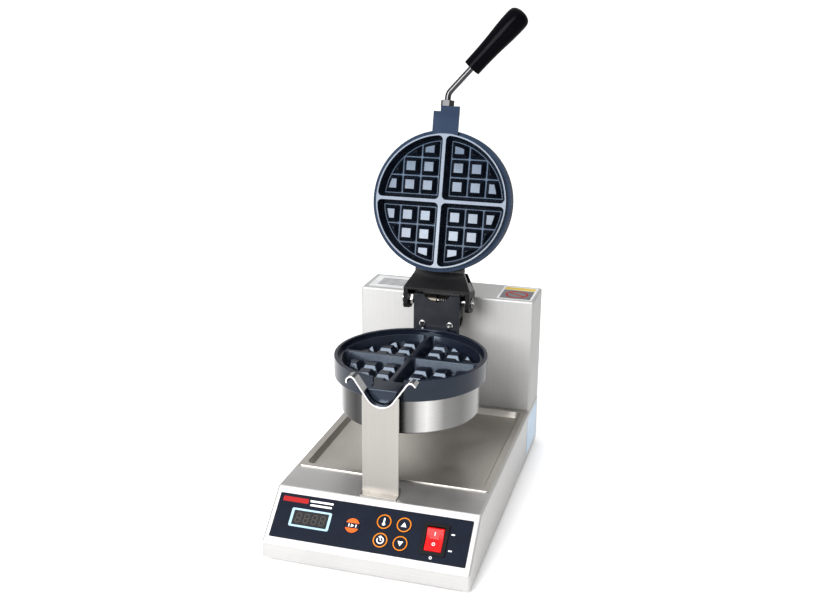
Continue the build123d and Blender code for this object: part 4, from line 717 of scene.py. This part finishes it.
digits()
key_prints()
panel_stripes()
switch_signs()
rocker_face()
label_prints()


# ---------------------------------------------------------------- floor, lights, camera
def place_thing(name, data):
    """Puts a mesh, light or camera in the scene as an object."""
    thing = bpy.data.objects.new(name, data)
    bpy.context.scene.collection.objects.link(thing)
    return thing


def front_softbox():
    """One large soft lamp in front, to the left and above, aimed at the middle of the machine."""
    place, aim = Vector((-0.52, -1.72, 1.08)), Vector((0, 0, 0.28))
    data = bpy.data.lights.new("front_softbox", "AREA")
    data.shape = "RECTANGLE"
    data.size, data.size_y = 1.1, 0.95
    data.energy = 75
    light = place_thing("front_softbox", data)
    light.location = place
    light.rotation_euler = (aim - place).to_track_quat("-Z", "Y").to_euler()


def pale_floor():
    """A plain pale floor that reaches 90 m each way."""
    reach, dark, light = 90.0, (0.86, 0.86, 0.86), (0.88, 0.88, 0.88)
    mesh = bmesh.new()
    bmesh.ops.create_grid(mesh, x_segments=8, y_segments=8, size=reach)
    data = bpy.data.meshes.new("floor")
    mesh.to_mesh(data)
    mesh.free()
    floor = place_thing("floor", data)
    shade = Shade("floor_paint")
    cloud = shade.noise(0.8, detail=2)
    floor.data.materials.append(shade.paint(shade.colours(cloud, (0.3, dark), (0.7, light)), 0.8))


def studio_world():
    """A bright diffusing ceiling over a dimmer room, by height over the horizon alone."""
    room_light, ceiling_light = 0.62, 1.85
    world = bpy.data.worlds.new("studio")
    bpy.context.scene.world = world
    world.use_nodes = True
    nodes, links = world.node_tree.nodes, world.node_tree.links
    split = nodes.new("ShaderNodeSeparateXYZ")
    links.new(nodes.new("ShaderNodeTexCoord").outputs["Generated"], split.inputs["Vector"])
    height = nodes.new("ShaderNodeMapRange")
    height.interpolation_type = "SMOOTHSTEP"
    set_range(height, 0.42, 0.82, room_light, ceiling_light)
    links.new(split.outputs["Z"], height.inputs["Value"])
    links.new(height.outputs["Result"], nodes["Background"].inputs["Strength"])
    nodes["Background"].inputs["Color"].default_value = (1, 1, 1, 1)


def photo_camera():
    """The camera stands in front, to the right and above, turned to its left and tipped down."""
    place = (0.33999, -1.19815, 0.65566)
    yaw, pitch, roll = radians(16.67), radians(16.70), radians(0.34)
    ahead = Vector((-sin(yaw) * cos(pitch), cos(yaw) * cos(pitch), -sin(pitch)))
    right = Vector((cos(yaw), sin(yaw), 0))
    up = right.cross(ahead)
    turned_right = right * cos(roll) + up * sin(roll)
    turned_up = up * cos(roll) - right * sin(roll)
    data = bpy.data.cameras.new("camera")
    data.sensor_width = 36.0
    data.lens = 44.24
    data.shift_x = 0.01885
    data.shift_y = -0.01376
    data.clip_start = 0.01
    camera = place_thing("camera", data)
    turned = Matrix((turned_right, turned_up, -ahead)).transposed().to_4x4()
    camera.matrix_world = Matrix.Translation(place) @ turned
    bpy.context.scene.camera = camera


pale_floor()
studio_world()
photo_camera()
front_softbox()
bpy.context.scene.view_settings.view_transform = "Standard"
